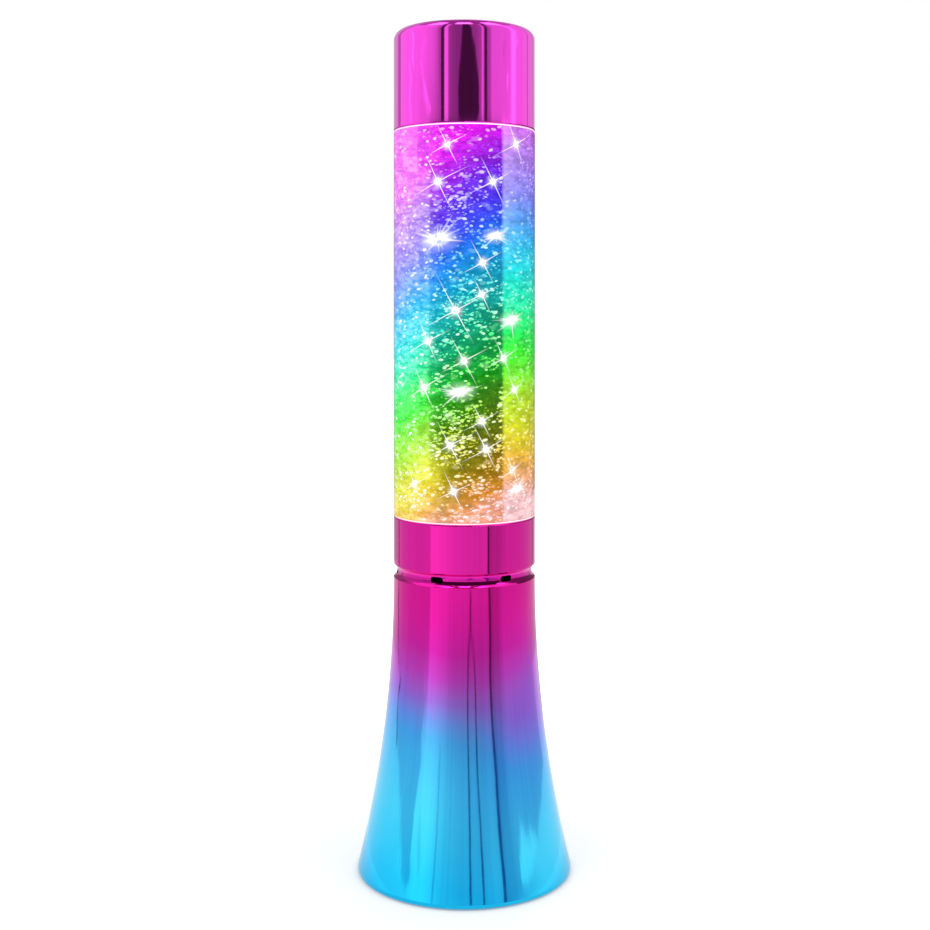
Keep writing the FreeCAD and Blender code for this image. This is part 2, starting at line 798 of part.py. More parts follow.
def hinge_rod(name, radius, length):
    """A round rod on the door's hinge axis."""
    return cylinder(name, radius, length, x=f"-({length}) / 2", y="hinge_y", z="hinge_z", turn="90",
                    axis=(0, 1, 0))


hinge_holes = hinge_rod("hinge_holes", "hinge_pin_radius + running_gap",
                        "bay_length + 2 * hinge_pin_length + 2 * slide_gap")
part(cut("bottom_cover", cover, sinks + [hinge_holes]))
cover_screw = countersunk_screw("cover_screw", "large_head", "large_screw", "large_screw_length")
part(copies("cover_screws", cover_screw, [
    {"z": "cover_z", "turn": "180", "axis": (1, 0, 0), **where} for where in cover_screw_places
]))
foot = turned("foot_pad", [
    ("0", "0"),
    ("foot_radius - edge_round", "0", "edge_round", "left"),
    ("foot_radius", "edge_round"),
    ("foot_radius", "foot_height"),
    ("0", "foot_height"),
])
part(copies("foot_pads", foot, [
    {"x": f"foot_ring * cos({angle})", "y": f"foot_ring * sin({angle})"} for angle in range(0, 360, 90)
]))

# Battery door: it swings on two pins at the ends of its round front edge, and a tab at the rear takes the
# captive screw

door = new_body("door_body", z="cover_z")
door_outline = new_sketch(door, "door_outline")
rectangle(door_outline, "bay_length - 2 * slide_gap", "door_edge - slide_gap - hinge_y",
          y="(door_edge - slide_gap + hinge_y) / 2")
pad(door, door_outline, "cover_thick", "door_plate")
tab_outline = new_sketch(door, "door_tab_outline")
rectangle(tab_outline, "door_tab_width", "door_tab_reach + bay_wall",
          y="door_edge + (door_tab_reach - bay_wall) / 2")
pad(door, tab_outline, "cover_thick", "door_tab")
grip_outline = new_sketch(door, "grip_outline")
for row in range(4):
    rectangle(grip_outline, "grip_width", "grip_groove",
              y=f"door_edge - grip_pitch * {row + 1} - grip_groove")
pocket(door, grip_outline, "grip_depth", "grip_grooves", upwards=True)
door_blank = fuse("door_blank", [
    door,
    hinge_rod("door_edge_round", "cover_thick / 2", "bay_length - 2 * slide_gap"),
    hinge_rod("hinge_pins", "hinge_pin_radius", "bay_length + 2 * hinge_pin_length"),
])
part(cut("battery_door", door_blank, [
    countersink("door_sink", "large_head", "large_screw", "cover_thick", y="door_screw_y", z="cover_z",
                turn="180", axis=(1, 0, 0))
]))
door_screw = countersunk_screw("door_screw", "large_head", "large_screw", "door_screw_length")
part(place(door_screw, y="door_screw_y", z="cover_z", turn="180", axis=(1, 0, 0)))

# Three cells in series along X, each turned end for end from the last

cell = fuse("cell", [
    cylinder("cell_can", "cell_radius", "cell_length", x="-cell_length / 2", turn="90", axis=(0, 1, 0)),
    cylinder("cell_nub", "nub_radius", "nub_length + cell_radius", x="cell_length / 2 - cell_radius",
             turn="90", axis=(0, 1, 0)),
])
CELL_ROWS = [("+", "-cell_pitch", "0"), ("-", "0", "180"), ("+", "cell_pitch", "0")]
part(copies("battery_cells", cell, [
    {"x": way + "cell_x", "y": row, "z": "cell_z", "turn": turn} for way, row, turn in CELL_ROWS
]))


def coil(name, radius, wire, length, turns):
    """A coil spring along Z: one round wire on quarter-turn arcs that climb evenly from end to end."""
    coil_radius, wire_radius = value(radius), value(wire)
    low = wire_radius + value("glue_gap")
    climb = (value(length) - 2 * low) / (4 * turns)

    def at(quarters):
        angle = quarters * math.pi / 2
        across, along = coil_radius * math.cos(angle), coil_radius * math.sin(angle)
        return FreeCAD.Vector(across, along, low + climb * quarters)

    quarters = [Part.Arc(at(step), at(step + 0.5), at(step + 1)).toShape() for step in range(4 * turns)]
    start = quarters[0].tangentAt(quarters[0].FirstParameter)
    section = Part.Wire(Part.makeCircle(wire_radius, at(0), start))
    item = document.addObject("Part::Feature", name)
    item.Shape = Part.Wire(quarters).makePipeShell([section], True, False)
    print(f"{name}: {4 * climb - 2 * wire_radius:.2f} mm between turns")
    return item


spring = coil("spring", "spring_radius", "spring_wire", "spring_length", 3)
springs = []
for way, row, turn in CELL_ROWS:
    wall = "-" if way == "+" else "+"
    springs.append({"x": f"{wall}(bay_length / 2 - contact_thick)", "y": row, "z": "cell_z",
                    "turn": f"{way}90", "axis": (0, 1, 0)})
part(copies("contact_springs", spring, springs))
CONTACTS = [("-", "-cell_pitch", "0"), ("-", "cell_pitch / 2", "cell_pitch"),
            ("+", "-cell_pitch / 2", "cell_pitch"), ("+", "cell_pitch", "0")]
part(group("contact_plates", [
    box(f"contact_plate_{number}", "contact_thick", f"contact_width + {extra}", "contact_height",
        x=side + "contact_x", y=row, z="cell_z - contact_height / 2")
    for number, (side, row, extra) in enumerate(CONTACTS, 1)
]))

# Rear panel: slide switch and power inlet

switch_space = box("switch_space", "knob_width + 2 * knob_lip + switch_travel + 2 * slide_gap",
                   "knob_lip_thick + 2 * slide_gap", "knob_height + 2 * knob_lip + 2 * slide_gap",
                   x="switch_offset", y="panel_back - knob_lip_thick / 2 - slide_gap",
                   z="panel_middle - knob_height / 2 - knob_lip - slide_gap")
switch_block = box("switch_block", "switch_length", "switch_depth", "switch_height", x="switch_offset",
                   y="panel_back - switch_depth / 2", z="panel_middle - switch_height / 2")
part(cut("switch_body", switch_block, [switch_space]))
knob_x = "switch_offset - switch_travel / 2"
knob_stem = box("knob_stem", "knob_width", "panel_wall + knob_proud + slide_gap + knob_lip_thick / 2",
                "knob_height", x=knob_x, z="panel_middle - knob_height / 2",
                y="panel_face + knob_proud - (panel_wall + knob_proud + slide_gap + knob_lip_thick / 2) / 2")
knob_lip = box("knob_lip_plate", "knob_width + 2 * knob_lip", "knob_lip_thick", "knob_height + 2 * knob_lip",
               x=knob_x, y="panel_back - slide_gap - knob_lip_thick / 2",
               z="panel_middle - knob_height / 2 - knob_lip")
knob_grooves = [
    box(f"knob_groove_{row}", "knob_groove", "2 * knob_groove", "2 * knob_height",
        x=f"{knob_x} + {row} * knob_width / 4", y="panel_face + knob_proud", z="panel_middle - knob_height")
    for row in (-1, 0, 1)
]
part(cut("switch_knob", fuse("knob_blank", [knob_stem, knob_lip]), knob_grooves))
inlet_place = {"x": "inlet_offset", "y": "panel_face", "z": "panel_middle", "turn": "-90", "axis": (1, 0, 0)}
pin_hole = "inlet_pin_radius + glue_gap"
part(turned("power_inlet", [
    (pin_hole, "-inlet_depth"),
    ("inlet_barrel", "-inlet_depth"),
    ("inlet_barrel", "0"),
    ("inlet_flange", "0"),
    ("inlet_flange", "inlet_flange_thick - edge_round", "edge_round", "left"),
    ("inlet_flange - edge_round", "inlet_flange_thick"),
    ("inlet_bore", "inlet_flange_thick"),
    ("inlet_bore", "inlet_back - inlet_depth"),
    (pin_hole, "inlet_back - inlet_depth"),
], **inlet_place))
part(turned("inlet_pin", [
    ("0", "-inlet_depth - inlet_back"),
    ("inlet_pin_radius", "-inlet_depth - inlet_back"),
    ("inlet_pin_radius", "-edge_round", "edge_round", "left"),
    ("inlet_pin_radius - edge_round", "0"),
    ("0", "0"),
], **inlet_place))
nut_blank = bind(document.addObject("Part::Prism", "inlet_nut_blank"), Circumradius="inlet_nut",
                 Height="inlet_nut_thick")
nut_place = {**inlet_place, "y": "panel_back - inlet_nut_thick"}
nut_bore = cylinder("inlet_nut_bore", "inlet_barrel + glue_gap", "inlet_nut_thick", **nut_place)
part(cut("inlet_nut", place(nut_blank, **nut_place), [nut_bore]))

# Control board on its posts, with its chip, capacitors and lead sockets

board = new_body("control_board", y="-board_shift", z="board_z")
board_outline = new_sketch(board, "board_outline")
rounded_rectangle(board_outline, "board_length", "board_depth", "post_radius")
pad(board, board_outline, "board_thick", "board_sheet")
board_holes = new_sketch(board, "board_hole_outline", height="board_thick")
for side in "+-":
    for end in "+-":
        circle(board_holes, "small_screw + running_gap", x=side + "(board_length / 2 - board_screw_inset)",
               y=end + "(board_depth / 2 - board_screw_inset)")
pocket(board, board_holes, "board_thick", "board_holes")
part(board)
board_screw = pan_screw("board_screw", "small_head", "small_screw", "board_thick + post_height / 2")
part(copies("board_screws", board_screw, [{"z": "board_top", **where} for where in board_screw_places]))
part(box("control_chip", "chip_length", "chip_depth", "chip_height", y="-board_shift", z="board_top"))
capacitor = turned("capacitor", [
    ("0", "0"),
    ("capacitor_radius", "0"),
    ("capacitor_radius", "capacitor_height - edge_round", "edge_round", "left"),
    ("capacitor_radius - edge_round", "capacitor_height"),
    ("0", "capacitor_height"),
])
part(copies("capacitors", capacitor, [
    {"x": side + "capacitor_offset", "y": "-board_shift", "z": "board_top"} for side in "+-"
]))
SOCKETS = {
    "switch": ("switch_offset", "board_rear - socket_depth / 2"),
    "inlet": ("inlet_offset", "board_rear - socket_depth / 2"),
    "motor": ("-capacitor_offset", "socket_depth - board_rear"),
    "led": ("2 * capacitor_offset", "0"),
}
part(group("lead_sockets", [
    box(name + "_socket", "socket_width" if name != "inlet" else "socket_width + 2 * lead_pitch",
        "socket_depth", "socket_height", x=x, y=y, z="board_top")
    for name, (x, y) in SOCKETS.items()
]))

# Light carrier: a cup that hangs in the collar's ledge, with the light board above and the motor below

carrier_place = {"z": "ledge_z", "turn": "vent_turn"}
carrier = turned("carrier_body", [
    ("motor_boss + slide_gap", "-carrier_depth"),
    ("carrier_radius", "-carrier_depth"),
    ("carrier_radius", "0"),
    ("neck_radius", "0"),
    ("neck_radius", "carrier_flange"),
    ("carrier_bore + window_lap", "carrier_flange"),
    ("carrier_bore + window_lap", "carrier_flange - window_thick"),
    ("carrier_bore", "carrier_flange - window_thick"),
    ("carrier_bore", "-carrier_floor"),
    ("motor_boss + slide_gap", "-carrier_floor"),
], **carrier_place)
led_post = new_sketch(carrier, "led_post_outline", height="-carrier_floor")
circle(led_post, "led_post_radius", x="led_screw_ring * cos(30)", y="led_screw_ring * sin(30)")
post_pad = pad(carrier, led_post, "led_board_height", "led_post")
around(carrier, post_pad, led_post, "3", "led_posts")
led_post_hole = new_sketch(carrier, "led_post_hole_outline", height="led_board_height - carrier_floor")
circle(led_post_hole, "small_screw + running_gap", x="led_screw_ring * cos(30)",
       y="led_screw_ring * sin(30)")
post_cut = pocket(carrier, led_post_hole, "led_board_height - edge_round", "led_post_hole")
around(carrier, post_cut, led_post_hole, "3", "led_post_holes")
floor_holes = new_sketch(carrier, "floor_hole_outline", height="-carrier_floor")
circle(floor_holes, "lead_pitch", y="lead_hole_ring")
pocket(carrier, floor_holes, "2 * carrier_wall", "lead_hole")
carrier_sinks = [
    countersink(f"carrier_sink_{angle}", "small_head", "small_screw", "carrier_flange", z="flange_z",
                x=f"carrier_screw_ring * cos({angle} + vent_turn)",
                y=f"carrier_screw_ring * sin({angle} + vent_turn)")
    for angle in (30, 150, 270)
]
motor_sinks = [
    countersink(f"motor_sink_{angle}", "small_head", "small_screw", "carrier_wall",
                z="motor_top + carrier_wall", x=f"motor_screw_ring * cos({angle} + vent_turn)",
                y=f"motor_screw_ring * sin({angle} + vent_turn)")
    for angle in (0, 180)
]
part(cut("light_carrier", carrier, carrier_sinks + motor_sinks))
carrier_screw = countersunk_screw("carrier_screw", "small_head", "small_screw", "small_screw_length")
part(copies("carrier_screws", carrier_screw, [
    {"x": f"carrier_screw_ring * cos({angle} + vent_turn)",
     "y": f"carrier_screw_ring * sin({angle} + vent_turn)", "z": "flange_z"} for angle in (30, 150, 270)
]))
part(cylinder("light_window", "carrier_bore + window_lap - glue_gap", "window_thick",
              z="flange_z - window_thick"))
light_board = turned("light_board", [
    ("led_board_bore", "0"),
    ("carrier_bore - slide_gap", "0"),
    ("carrier_bore - slide_gap", "led_board_thick"),
    ("led_board_bore", "led_board_thick"),
], z="led_board_z", turn="vent_turn")
light_board_hole = new_sketch(light_board, "light_board_hole_outline", height="led_board_thick")
circle(light_board_hole, "small_screw + running_gap", x="led_screw_ring * cos(30)",
       y="led_screw_ring * sin(30)")
light_cut = pocket(light_board, light_board_hole, "led_board_thick", "light_board_hole")
around(light_board, light_cut, light_board_hole, "3", "light_board_holes")
part(light_board)
light_screw = pan_screw("light_board_screw", "small_head", "small_screw", "led_board_height")
part(copies("light_board_screws", light_screw, [
    {"x": f"led_screw_ring * cos({angle} + vent_turn)", "y": f"led_screw_ring * sin({angle} + vent_turn)",
     "z": "led_z"} for angle in (30, 150, 270)
]))
led = turned("led", [
    ("0", "0"),
    ("led_radius + led_flange", "0"),
    ("led_radius + led_flange", "2 * led_flange"),
    ("led_radius", "2 * led_flange"),
    ("led_radius", "led_length - led_radius", "led_radius", "left"),
    ("0", "led_length"),
])
part(copies("leds", led, [
    {"x": f"led_ring * cos({step} * 360 / led_count + vent_turn)",
     "y": f"led_ring * sin({step} * 360 / led_count + vent_turn)", "z": "led_z"}
    for step in range(int(value("led_count")))
]))

# Motor under the carrier's floor, and the magnet hub on its shaft

shaft_bore = "shaft_radius + running_gap"
motor_place = {"z": "motor_top", "turn": "vent_turn"}
motor = turned("motor_can_body", [
    (shaft_bore, "-motor_wall"),
    ("motor_radius - motor_wall", "-motor_wall"),
    ("motor_radius - motor_wall", "-motor_length"),
    ("motor_radius", "-motor_length"),
    ("motor_radius", "0"),
    ("motor_boss", "0"),
    ("motor_boss", "motor_boss_height"),
    (shaft_bore, "motor_boss_height"),
], **motor_place)
motor_hole = new_sketch(motor, "motor_screw_hole_outline")
for side in "+-":
    circle(motor_hole, "small_screw + running_gap", x=side + "motor_screw_ring")
pocket(motor, motor_hole, "motor_wall", "motor_screw_holes")
part(motor, "motor_can")
part(turned("motor_end_cap", [
    (shaft_bore, "-motor_length - 2 * motor_cap_thick"),
    ("motor_boss", "-motor_length - 2 * motor_cap_thick"),
    ("motor_boss", "-motor_length - motor_cap_thick"),
    ("motor_radius", "-motor_length - motor_cap_thick"),
    ("motor_radius", "-motor_length"),
    ("motor_radius - motor_wall - glue_gap", "-motor_length"),
    ("motor_radius - motor_wall - glue_gap", "motor_cap_thick - motor_length"),
    (shaft_bore, "motor_cap_thick - motor_length"),
], **motor_place))
magnet_ring = turned("motor_magnet_ring", [
    ("armature_radius + motor_magnet_gap", "-motor_magnet_length"),
    ("motor_radius - motor_wall - glue_gap", "-motor_magnet_length"),
    ("motor_radius - motor_wall - glue_gap", "0"),
    ("armature_radius + motor_magnet_gap", "0"),
], z="motor_top - motor_wall - motor_cap_thick")
part(cut("motor_magnets", magnet_ring, [
    box("magnet_split", "2 * motor_radius", "armature_radius", "motor_length", z="motor_top - motor_length")
]))
part(group("motor_terminals", [
    box("motor_terminal_" + end, "terminal_length / 2", "contact_thick", "terminal_length",
        x=side + "terminal_offset", z="motor_top - motor_length - motor_cap_thick - terminal_length")
    for side, end in (("-", "left"), ("+", "right"))
]))
motor_screw = countersunk_screw("motor_screw", "small_head", "small_screw", "carrier_wall + motor_wall")
part(copies("motor_screws", motor_screw, [
    {"x": f"motor_screw_ring * cos({angle} + vent_turn)", "y": f"motor_screw_ring * sin({angle} + vent_turn)",
     "z": "motor_top + carrier_wall"} for angle in (0, 180)
]))
part(turned("motor_armature", [
    ("shaft_radius + glue_gap", "-motor_magnet_length"),
    ("armature_radius", "-motor_magnet_length"),
    ("armature_radius", "0"),
    ("shaft_radius + glue_gap", "0"),
], z="motor_top - motor_wall - motor_cap_thick"))
part(cylinder("motor_shaft", "shaft_radius", "motor_length + motor_cap_thick + hub_lift + hub_thick",
              z="motor_top - motor_length - motor_cap_thick"))
hub = turned("magnet_hub", [
    ("shaft_radius + glue_gap", "0"),
    ("hub_radius", "0"),
    ("hub_radius", "hub_thick"),
    ("shaft_radius + glue_gap", "hub_thick"),
], z="motor_top + hub_lift")
hub_pocket = new_sketch(hub, "hub_pocket_outline", height="hub_thick")
for side in "+-":
    circle(hub_pocket, "magnet_radius + glue_gap", x=side + "magnet_ring")
pocket(hub, hub_pocket, "magnet_thick + glue_gap", "hub_pockets")
part(hub)
part(group("drive_magnets", [
    cylinder("drive_magnet_" + end, "magnet_radius", "magnet_thick", x=side + "magnet_ring",
             z="motor_top + hub_lift + hub_thick - magnet_thick")
    for side, end in (("-", "left"), ("+", "right"))
]))

# Bottle: one clear moulding with a stepped foot and neck, whose shoulder rests on the collar

part(turned("bottle_tube", [
    ("0", "-foot_drop"),
    ("neck_radius - edge_round", "-foot_drop", "edge_round", "left"),
    ("neck_radius", "edge_round - foot_drop"),
    ("neck_radius", "0"),
    ("tube_radius - edge_round", "0", "edge_round", "left"),
    ("tube_radius", "edge_round"),
    ("tube_radius", "tube_length - edge_round", "edge_round", "left"),
    ("tube_radius - edge_round", "tube_length"),
    ("neck_radius", "tube_length"),
    ("neck_radius", "neck_top"),
    ("neck_bore", "neck_top"),
    ("neck_bore", "tube_length - bottle_wall"),
    ("tube_bore", "tube_length - shoulder"),
    ("tube_bore", "shoulder"),
    ("neck_bore", "bottle_wall"),
    ("neck_bore", "floor_top"),
    ("pin_boss_radius", "floor_top"),
    ("pin_boss_radius", "floor_top + pin_boss"),
    ("pin_radius + glue_gap", "floor_top + pin_boss"),
    ("pin_radius + glue_gap", "floor_top - pin_root"),
    ("0", "floor_top - pin_root"),
], z="bottle_z"))
part(cylinder("stirrer_pin", "pin_radius", "pin_length", z="bottle_foot_z + bottle_floor - pin_root"))
wheel = turned("stirrer_wheel", [
    ("pin_radius + running_gap", "0"),
    ("wheel_radius", "0"),
    ("wheel_radius", "wheel_thick"),
    ("wheel_hub", "wheel_thick"),
    ("wheel_hub", "wheel_thick + blade_height"),
    ("pin_radius + running_gap", "wheel_thick + blade_height"),
], z="wheel_z")
blade = new_sketch(wheel, "blade_outline", height="wheel_thick")
rectangle(blade, "wheel_radius - wheel_hub", "blade_thick", x="(wheel_radius + wheel_hub - blade_thick) / 2")
blade_pad = pad(wheel, blade, "blade_height", "blade")
around(wheel, blade_pad, blade, "blade_count", "blades")
wheel_pocket = new_sketch(wheel, "wheel_pocket_outline")
for side in "+-":
    circle(wheel_pocket, "magnet_radius + glue_gap", x=side + "magnet_ring")
pocket(wheel, wheel_pocket, "magnet_thick + glue_gap", "wheel_pockets", upwards=True)
part(wheel)
part(group("stirrer_magnets", [
    cylinder("stirrer_magnet_" + end, "magnet_radius", "magnet_thick", x=side + "magnet_ring", z="wheel_z")
    for side, end in (("-", "left"), ("+", "right"))
]))
part(turned("stirrer_clip", [
    ("pin_radius + glue_gap", "0"),
    ("clip_radius", "0"),
    ("clip_radius", "clip_thick"),
    ("pin_radius + glue_gap", "clip_thick"),
], z="wheel_top + slide_gap"))
wheel_space_top = "wheel_top - bottle_z + slide_gap + clip_thick + wheel_room"
fill_level = "neck_top - lid_plug - fill_gap"
part(turned("glitter_fluid", [
    ("wheel_radius + wheel_room", "floor_top + glue_gap"),
    ("neck_bore - glue_gap", "floor_top + glue_gap"),
    ("neck_bore - glue_gap", "bottle_wall"),
    ("tube_bore - glue_gap", "shoulder"),
    ("tube_bore - glue_gap", "tube_length - shoulder"),
    ("neck_bore - glue_gap", "tube_length - bottle_wall"),
    ("neck_bore - glue_gap", fill_level),
    ("0", fill_level),
    ("0", wheel_space_top),
    ("wheel_radius + wheel_room", wheel_space_top),
], z="bottle_z"))

# Lid, its seal and the filling plug, all hidden under the cap

seal_middle = "-lid_plug / 2"
seal_room = "(seal_section + glue_gap)"
part(turned("bottle_lid", [
    ("fill_hole", "-lid_plug"),
    ("neck_bore - glue_gap", "-lid_plug"),
    ("neck_bore - glue_gap", f"{seal_middle} - {seal_room}"),
    ("neck_bore - 2 * seal_section - 2 * glue_gap", f"{seal_middle} - {seal_room}"),
    ("neck_bore - 2 * seal_section - 2 * glue_gap", f"{seal_middle} + {seal_room}"),
    ("neck_bore - glue_gap", f"{seal_middle} + {seal_room}"),
    ("neck_bore - glue_gap", "0"),
    ("neck_radius - edge_round", "0"),
    ("neck_radius - edge_round", "lid_flange"),
    ("fill_hole", "lid_flange"),
], z="lid_z"))
seal = bind(document.addObject("Part::Torus", "lid_seal"), Radius1="neck_bore - seal_section - glue_gap",
            Radius2="seal_section")
part(place(seal, z=f"lid_z + {seal_middle}"))
plug = turned("fill_plug_body", [
    ("0", "edge_round - lid_plug"),
    ("fill_hole - glue_gap", "edge_round - lid_plug"),
    ("fill_hole - glue_gap", "lid_flange"),
    ("fill_head", "lid_flange"),
    ("fill_head", "lid_flange + fill_head_thick - edge_round", "edge_round", "left"),
    ("fill_head - edge_round", "lid_flange + fill_head_thick"),
    ("0", "lid_flange + fill_head_thick"),
], z="lid_z")
part(cut("fill_plug", plug, [
    box("fill_plug_slot", "3 * fill_head", "fill_head / 4", "fill_head_thick",
        z="lid_z + lid_flange + fill_head_thick / 2")
]))

# Cap: a deep cup whose inner ribs grip the bottle's neck

cap = turned("cap_shell", [
    ("collar_bore", "0"),
    ("tube_radius - edge_round", "0", "edge_round", "left"),
    ("tube_radius", "edge_round"),
    ("tube_radius", "cap_height - cap_round", "cap_round", "left"),
    ("tube_radius - cap_round", "cap_height"),
    ("0", "cap_height"),
    ("0", "cap_height - cap_top"),
    ("collar_bore", "cap_height - cap_top"),
], z="cap_z")
rib = new_sketch(cap, "rib_outline", height="rib_start")
rectangle(rib, "collar_bore + shell_wall / 2 - neck_radius - running_gap", "rib_thick",
          x="(collar_bore + shell_wall / 2 + neck_radius + running_gap) / 2")
rib_pad = pad(cap, rib, "rib_height", "rib")
around(cap, rib_pad, rib, "rib_count", "ribs")
part(cap)

# Leads inside the base, each a pair of insulated wires

part(leads("battery_leads", [
    [(side + "(contact_x - contact_thick)", end + "cell_pitch", "contact_top"),
     (side + "(contact_x - contact_thick)", end + "cell_pitch", "board_top + lead_rise"),
     (side + "(board_length / 2 - lead_inset)", end + "cell_pitch / 2", "board_top + lead_rise"),
     (side + "(board_length / 2 - lead_inset)", end + "cell_pitch / 2", "board_top")]
    for side, end in lead_places
]))
wires = ("-", "+")


def rear_leads(name, middle, spread, start):
    """A pair from something on the rear panel to its socket on the board."""
    return leads(name, [
        [(f"{middle} {wire} {spread}", start, "panel_middle"),
         (f"{middle} {wire} {spread}", f"{start} - lead_straight", "panel_middle"),
         (f"{middle} {wire} {spread}", "board_rear + lead_straight", "board_top + socket_height / 2"),
         (f"{middle} {wire} {spread}", "board_rear", "board_top + socket_height / 2")]
        for wire in wires
    ])


part(rear_leads("switch_leads", "switch_offset", "lead_pitch / 2", "panel_back - switch_depth"))
part(rear_leads("inlet_leads", "inlet_offset", "lead_pitch", "panel_face - inlet_depth"))
lead_turn_z = "((board_top + motor_top) / 2 - lead_rise)"
motor_socket_x, motor_socket_y = SOCKETS["motor"]
part(leads("motor_leads", [
    [(f"{wire}terminal_offset", "0", "motor_top - motor_length - motor_cap_thick - terminal_length"),
     (f"{wire}terminal_offset", "0", "motor_top - 2 * motor_length - terminal_length"),
     (f"{motor_socket_x} {wire} lead_pitch / 2", motor_socket_y, lead_turn_z),
     (f"{motor_socket_x} {wire} lead_pitch / 2", motor_socket_y, "board_top + socket_height")]
    for wire in wires
]))
led_socket_x, led_socket_y = SOCKETS["led"]
part(leads("light_leads", [
    [(f"-lead_hole_ring * sin(vent_turn) {wire} lead_pitch / 2", "lead_hole_ring * cos(vent_turn)",
      "led_board_z"),
     (f"-lead_hole_ring * sin(vent_turn) {wire} lead_pitch / 2", "lead_hole_ring * cos(vent_turn)",
      "motor_top - motor_length"),
     (f"{led_socket_x} {wire} lead_pitch / 2", led_socket_y, lead_turn_z),
     (f"{led_socket_x} {wire} lead_pitch / 2", led_socket_y, "board_top + socket_height")]
    for wire in wires
]))

document.recompute()
bad = [item.Name for item in document.Objects if {"Invalid", "Error"} & set(item.State)]
if bad:
    raise ValueError("failed to build: " + ", ".join(bad))
for item in parts:
    if item.Shape.isNull() or not item.Shape.isValid():
        raise ValueError(item.Label + " has no valid shape")

os.makedirs("parts", exist_ok=True)
for item in parts:
    item.Shape.exportStep(f"parts/{item.Label}.step")
print(len(parts), "sub-parts,", sum(len(item.Shape.Solids) for item in parts), "solids")
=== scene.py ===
import json
import math
import random

import bmesh
import bpy
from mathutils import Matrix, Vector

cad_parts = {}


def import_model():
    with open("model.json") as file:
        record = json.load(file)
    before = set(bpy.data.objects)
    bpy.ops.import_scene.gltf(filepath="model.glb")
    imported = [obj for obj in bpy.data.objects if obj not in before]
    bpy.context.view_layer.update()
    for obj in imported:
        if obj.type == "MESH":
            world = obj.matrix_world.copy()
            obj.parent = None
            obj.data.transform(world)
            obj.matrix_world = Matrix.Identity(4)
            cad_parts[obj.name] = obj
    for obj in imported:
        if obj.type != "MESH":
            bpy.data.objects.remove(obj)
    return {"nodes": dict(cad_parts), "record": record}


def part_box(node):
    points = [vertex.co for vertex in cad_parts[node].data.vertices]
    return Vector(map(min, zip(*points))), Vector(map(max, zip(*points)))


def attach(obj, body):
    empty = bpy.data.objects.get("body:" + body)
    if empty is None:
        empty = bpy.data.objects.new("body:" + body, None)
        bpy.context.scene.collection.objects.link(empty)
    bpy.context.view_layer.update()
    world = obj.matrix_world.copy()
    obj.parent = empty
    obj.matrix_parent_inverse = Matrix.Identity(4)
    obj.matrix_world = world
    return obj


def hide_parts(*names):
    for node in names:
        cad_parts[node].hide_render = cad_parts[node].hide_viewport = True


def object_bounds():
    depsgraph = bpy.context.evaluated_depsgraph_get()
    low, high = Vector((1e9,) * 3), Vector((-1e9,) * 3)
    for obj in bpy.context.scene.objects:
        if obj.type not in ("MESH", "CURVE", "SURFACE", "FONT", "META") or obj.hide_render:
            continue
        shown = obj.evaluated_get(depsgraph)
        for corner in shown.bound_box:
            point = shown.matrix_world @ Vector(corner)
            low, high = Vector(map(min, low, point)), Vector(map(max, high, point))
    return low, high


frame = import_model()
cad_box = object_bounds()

# The picture: its side and the focal length in pixels, and the row of the eye's height. The sensor is in
# millimetres, and the eye's place in metres
PICTURE_SIDE = 930
FOCAL_PIXELS = 1400
EYE_ROW = 310
SENSOR = 36
EYE = (0.00026, -0.596, 0.2367)

MM = 0.001

# The bottle's sizes, in metres, beside those that the frame gives
BOTTLE_LOW, BOTTLE_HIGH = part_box("bottle_tube")
TUBE_RADIUS = BOTTLE_HIGH.x
TUBE_LENGTH = 0.1628
NECK_LENGTH = 0.0115
TUBE_BASE = BOTTLE_HIGH.z - NECK_LENGTH - TUBE_LENGTH
TUBE_TOP = TUBE_BASE + TUBE_LENGTH
NECK_RADIUS = 0.0277
BOTTLE_WALL = 0.002
BORE = TUBE_RADIUS - BOTTLE_WALL
NECK_BORE = NECK_RADIUS - BOTTLE_WALL
EDGE_ROUND = 0.0005
FLOOR_THICKNESS = 0.0022
BOTTLE_FLOOR = BOTTLE_LOW.z + FLOOR_THICKNESS
SHOULDER = BOTTLE_WALL + TUBE_RADIUS - NECK_RADIUS
PIN_BOSS_RADIUS, PIN_BOSS_HEIGHT = 0.0035, 0.0015
WHEEL_SPACE_RADIUS, WHEEL_SPACE_HEIGHT = 0.0175, 0.0128

# The dense coloured fluid stands this far inside the tube's wall, and the flakes float between. In the necks
# it leaves only a film
GLITTER_DEPTH = 0.0015
NECK_FILM = 0.00015
FLAKE_GAP = 0.0001
END_GAP = 0.0008
GLINT_DEPTH = 0.0003
HALO_DEPTH = 0.0002

# How much the clear moulding and the fluid bend light
CLEAR_BEND = 1.49
FLUID_BEND = 1.33

# Steps round a turned piece and round a band of panels
AROUND = 192
PANEL_STEPS = 256


class Link:
    """A socket of a node tree, on which sums are written as on a number."""

    def __init__(self, tree, socket):
        self.tree = tree
        self.socket = socket

    def sum(self, operation, first, second):
        return self.tree.node("ShaderNodeMath", {"operation": operation}, {0: first, 1: second})

    def __add__(self, other):
        return self.sum("ADD", self, other)

    def __radd__(self, other):
        return self.sum("ADD", other, self)

    def __sub__(self, other):
        return self.sum("SUBTRACT", self, other)

    def __rsub__(self, other):
        return self.sum("SUBTRACT", other, self)

    def __mul__(self, other):
        return self.sum("MULTIPLY", self, other)

    def __rmul__(self, other):
        return self.sum("MULTIPLY", other, self)

    def __truediv__(self, other):
        return self.sum("DIVIDE", self, other)

    def __rtruediv__(self, other):
        return self.sum("DIVIDE", other, self)

    def __pow__(self, other):
        return self.sum("POWER", self, other)

    def __rpow__(self, other):
        return self.sum("POWER", other, self)


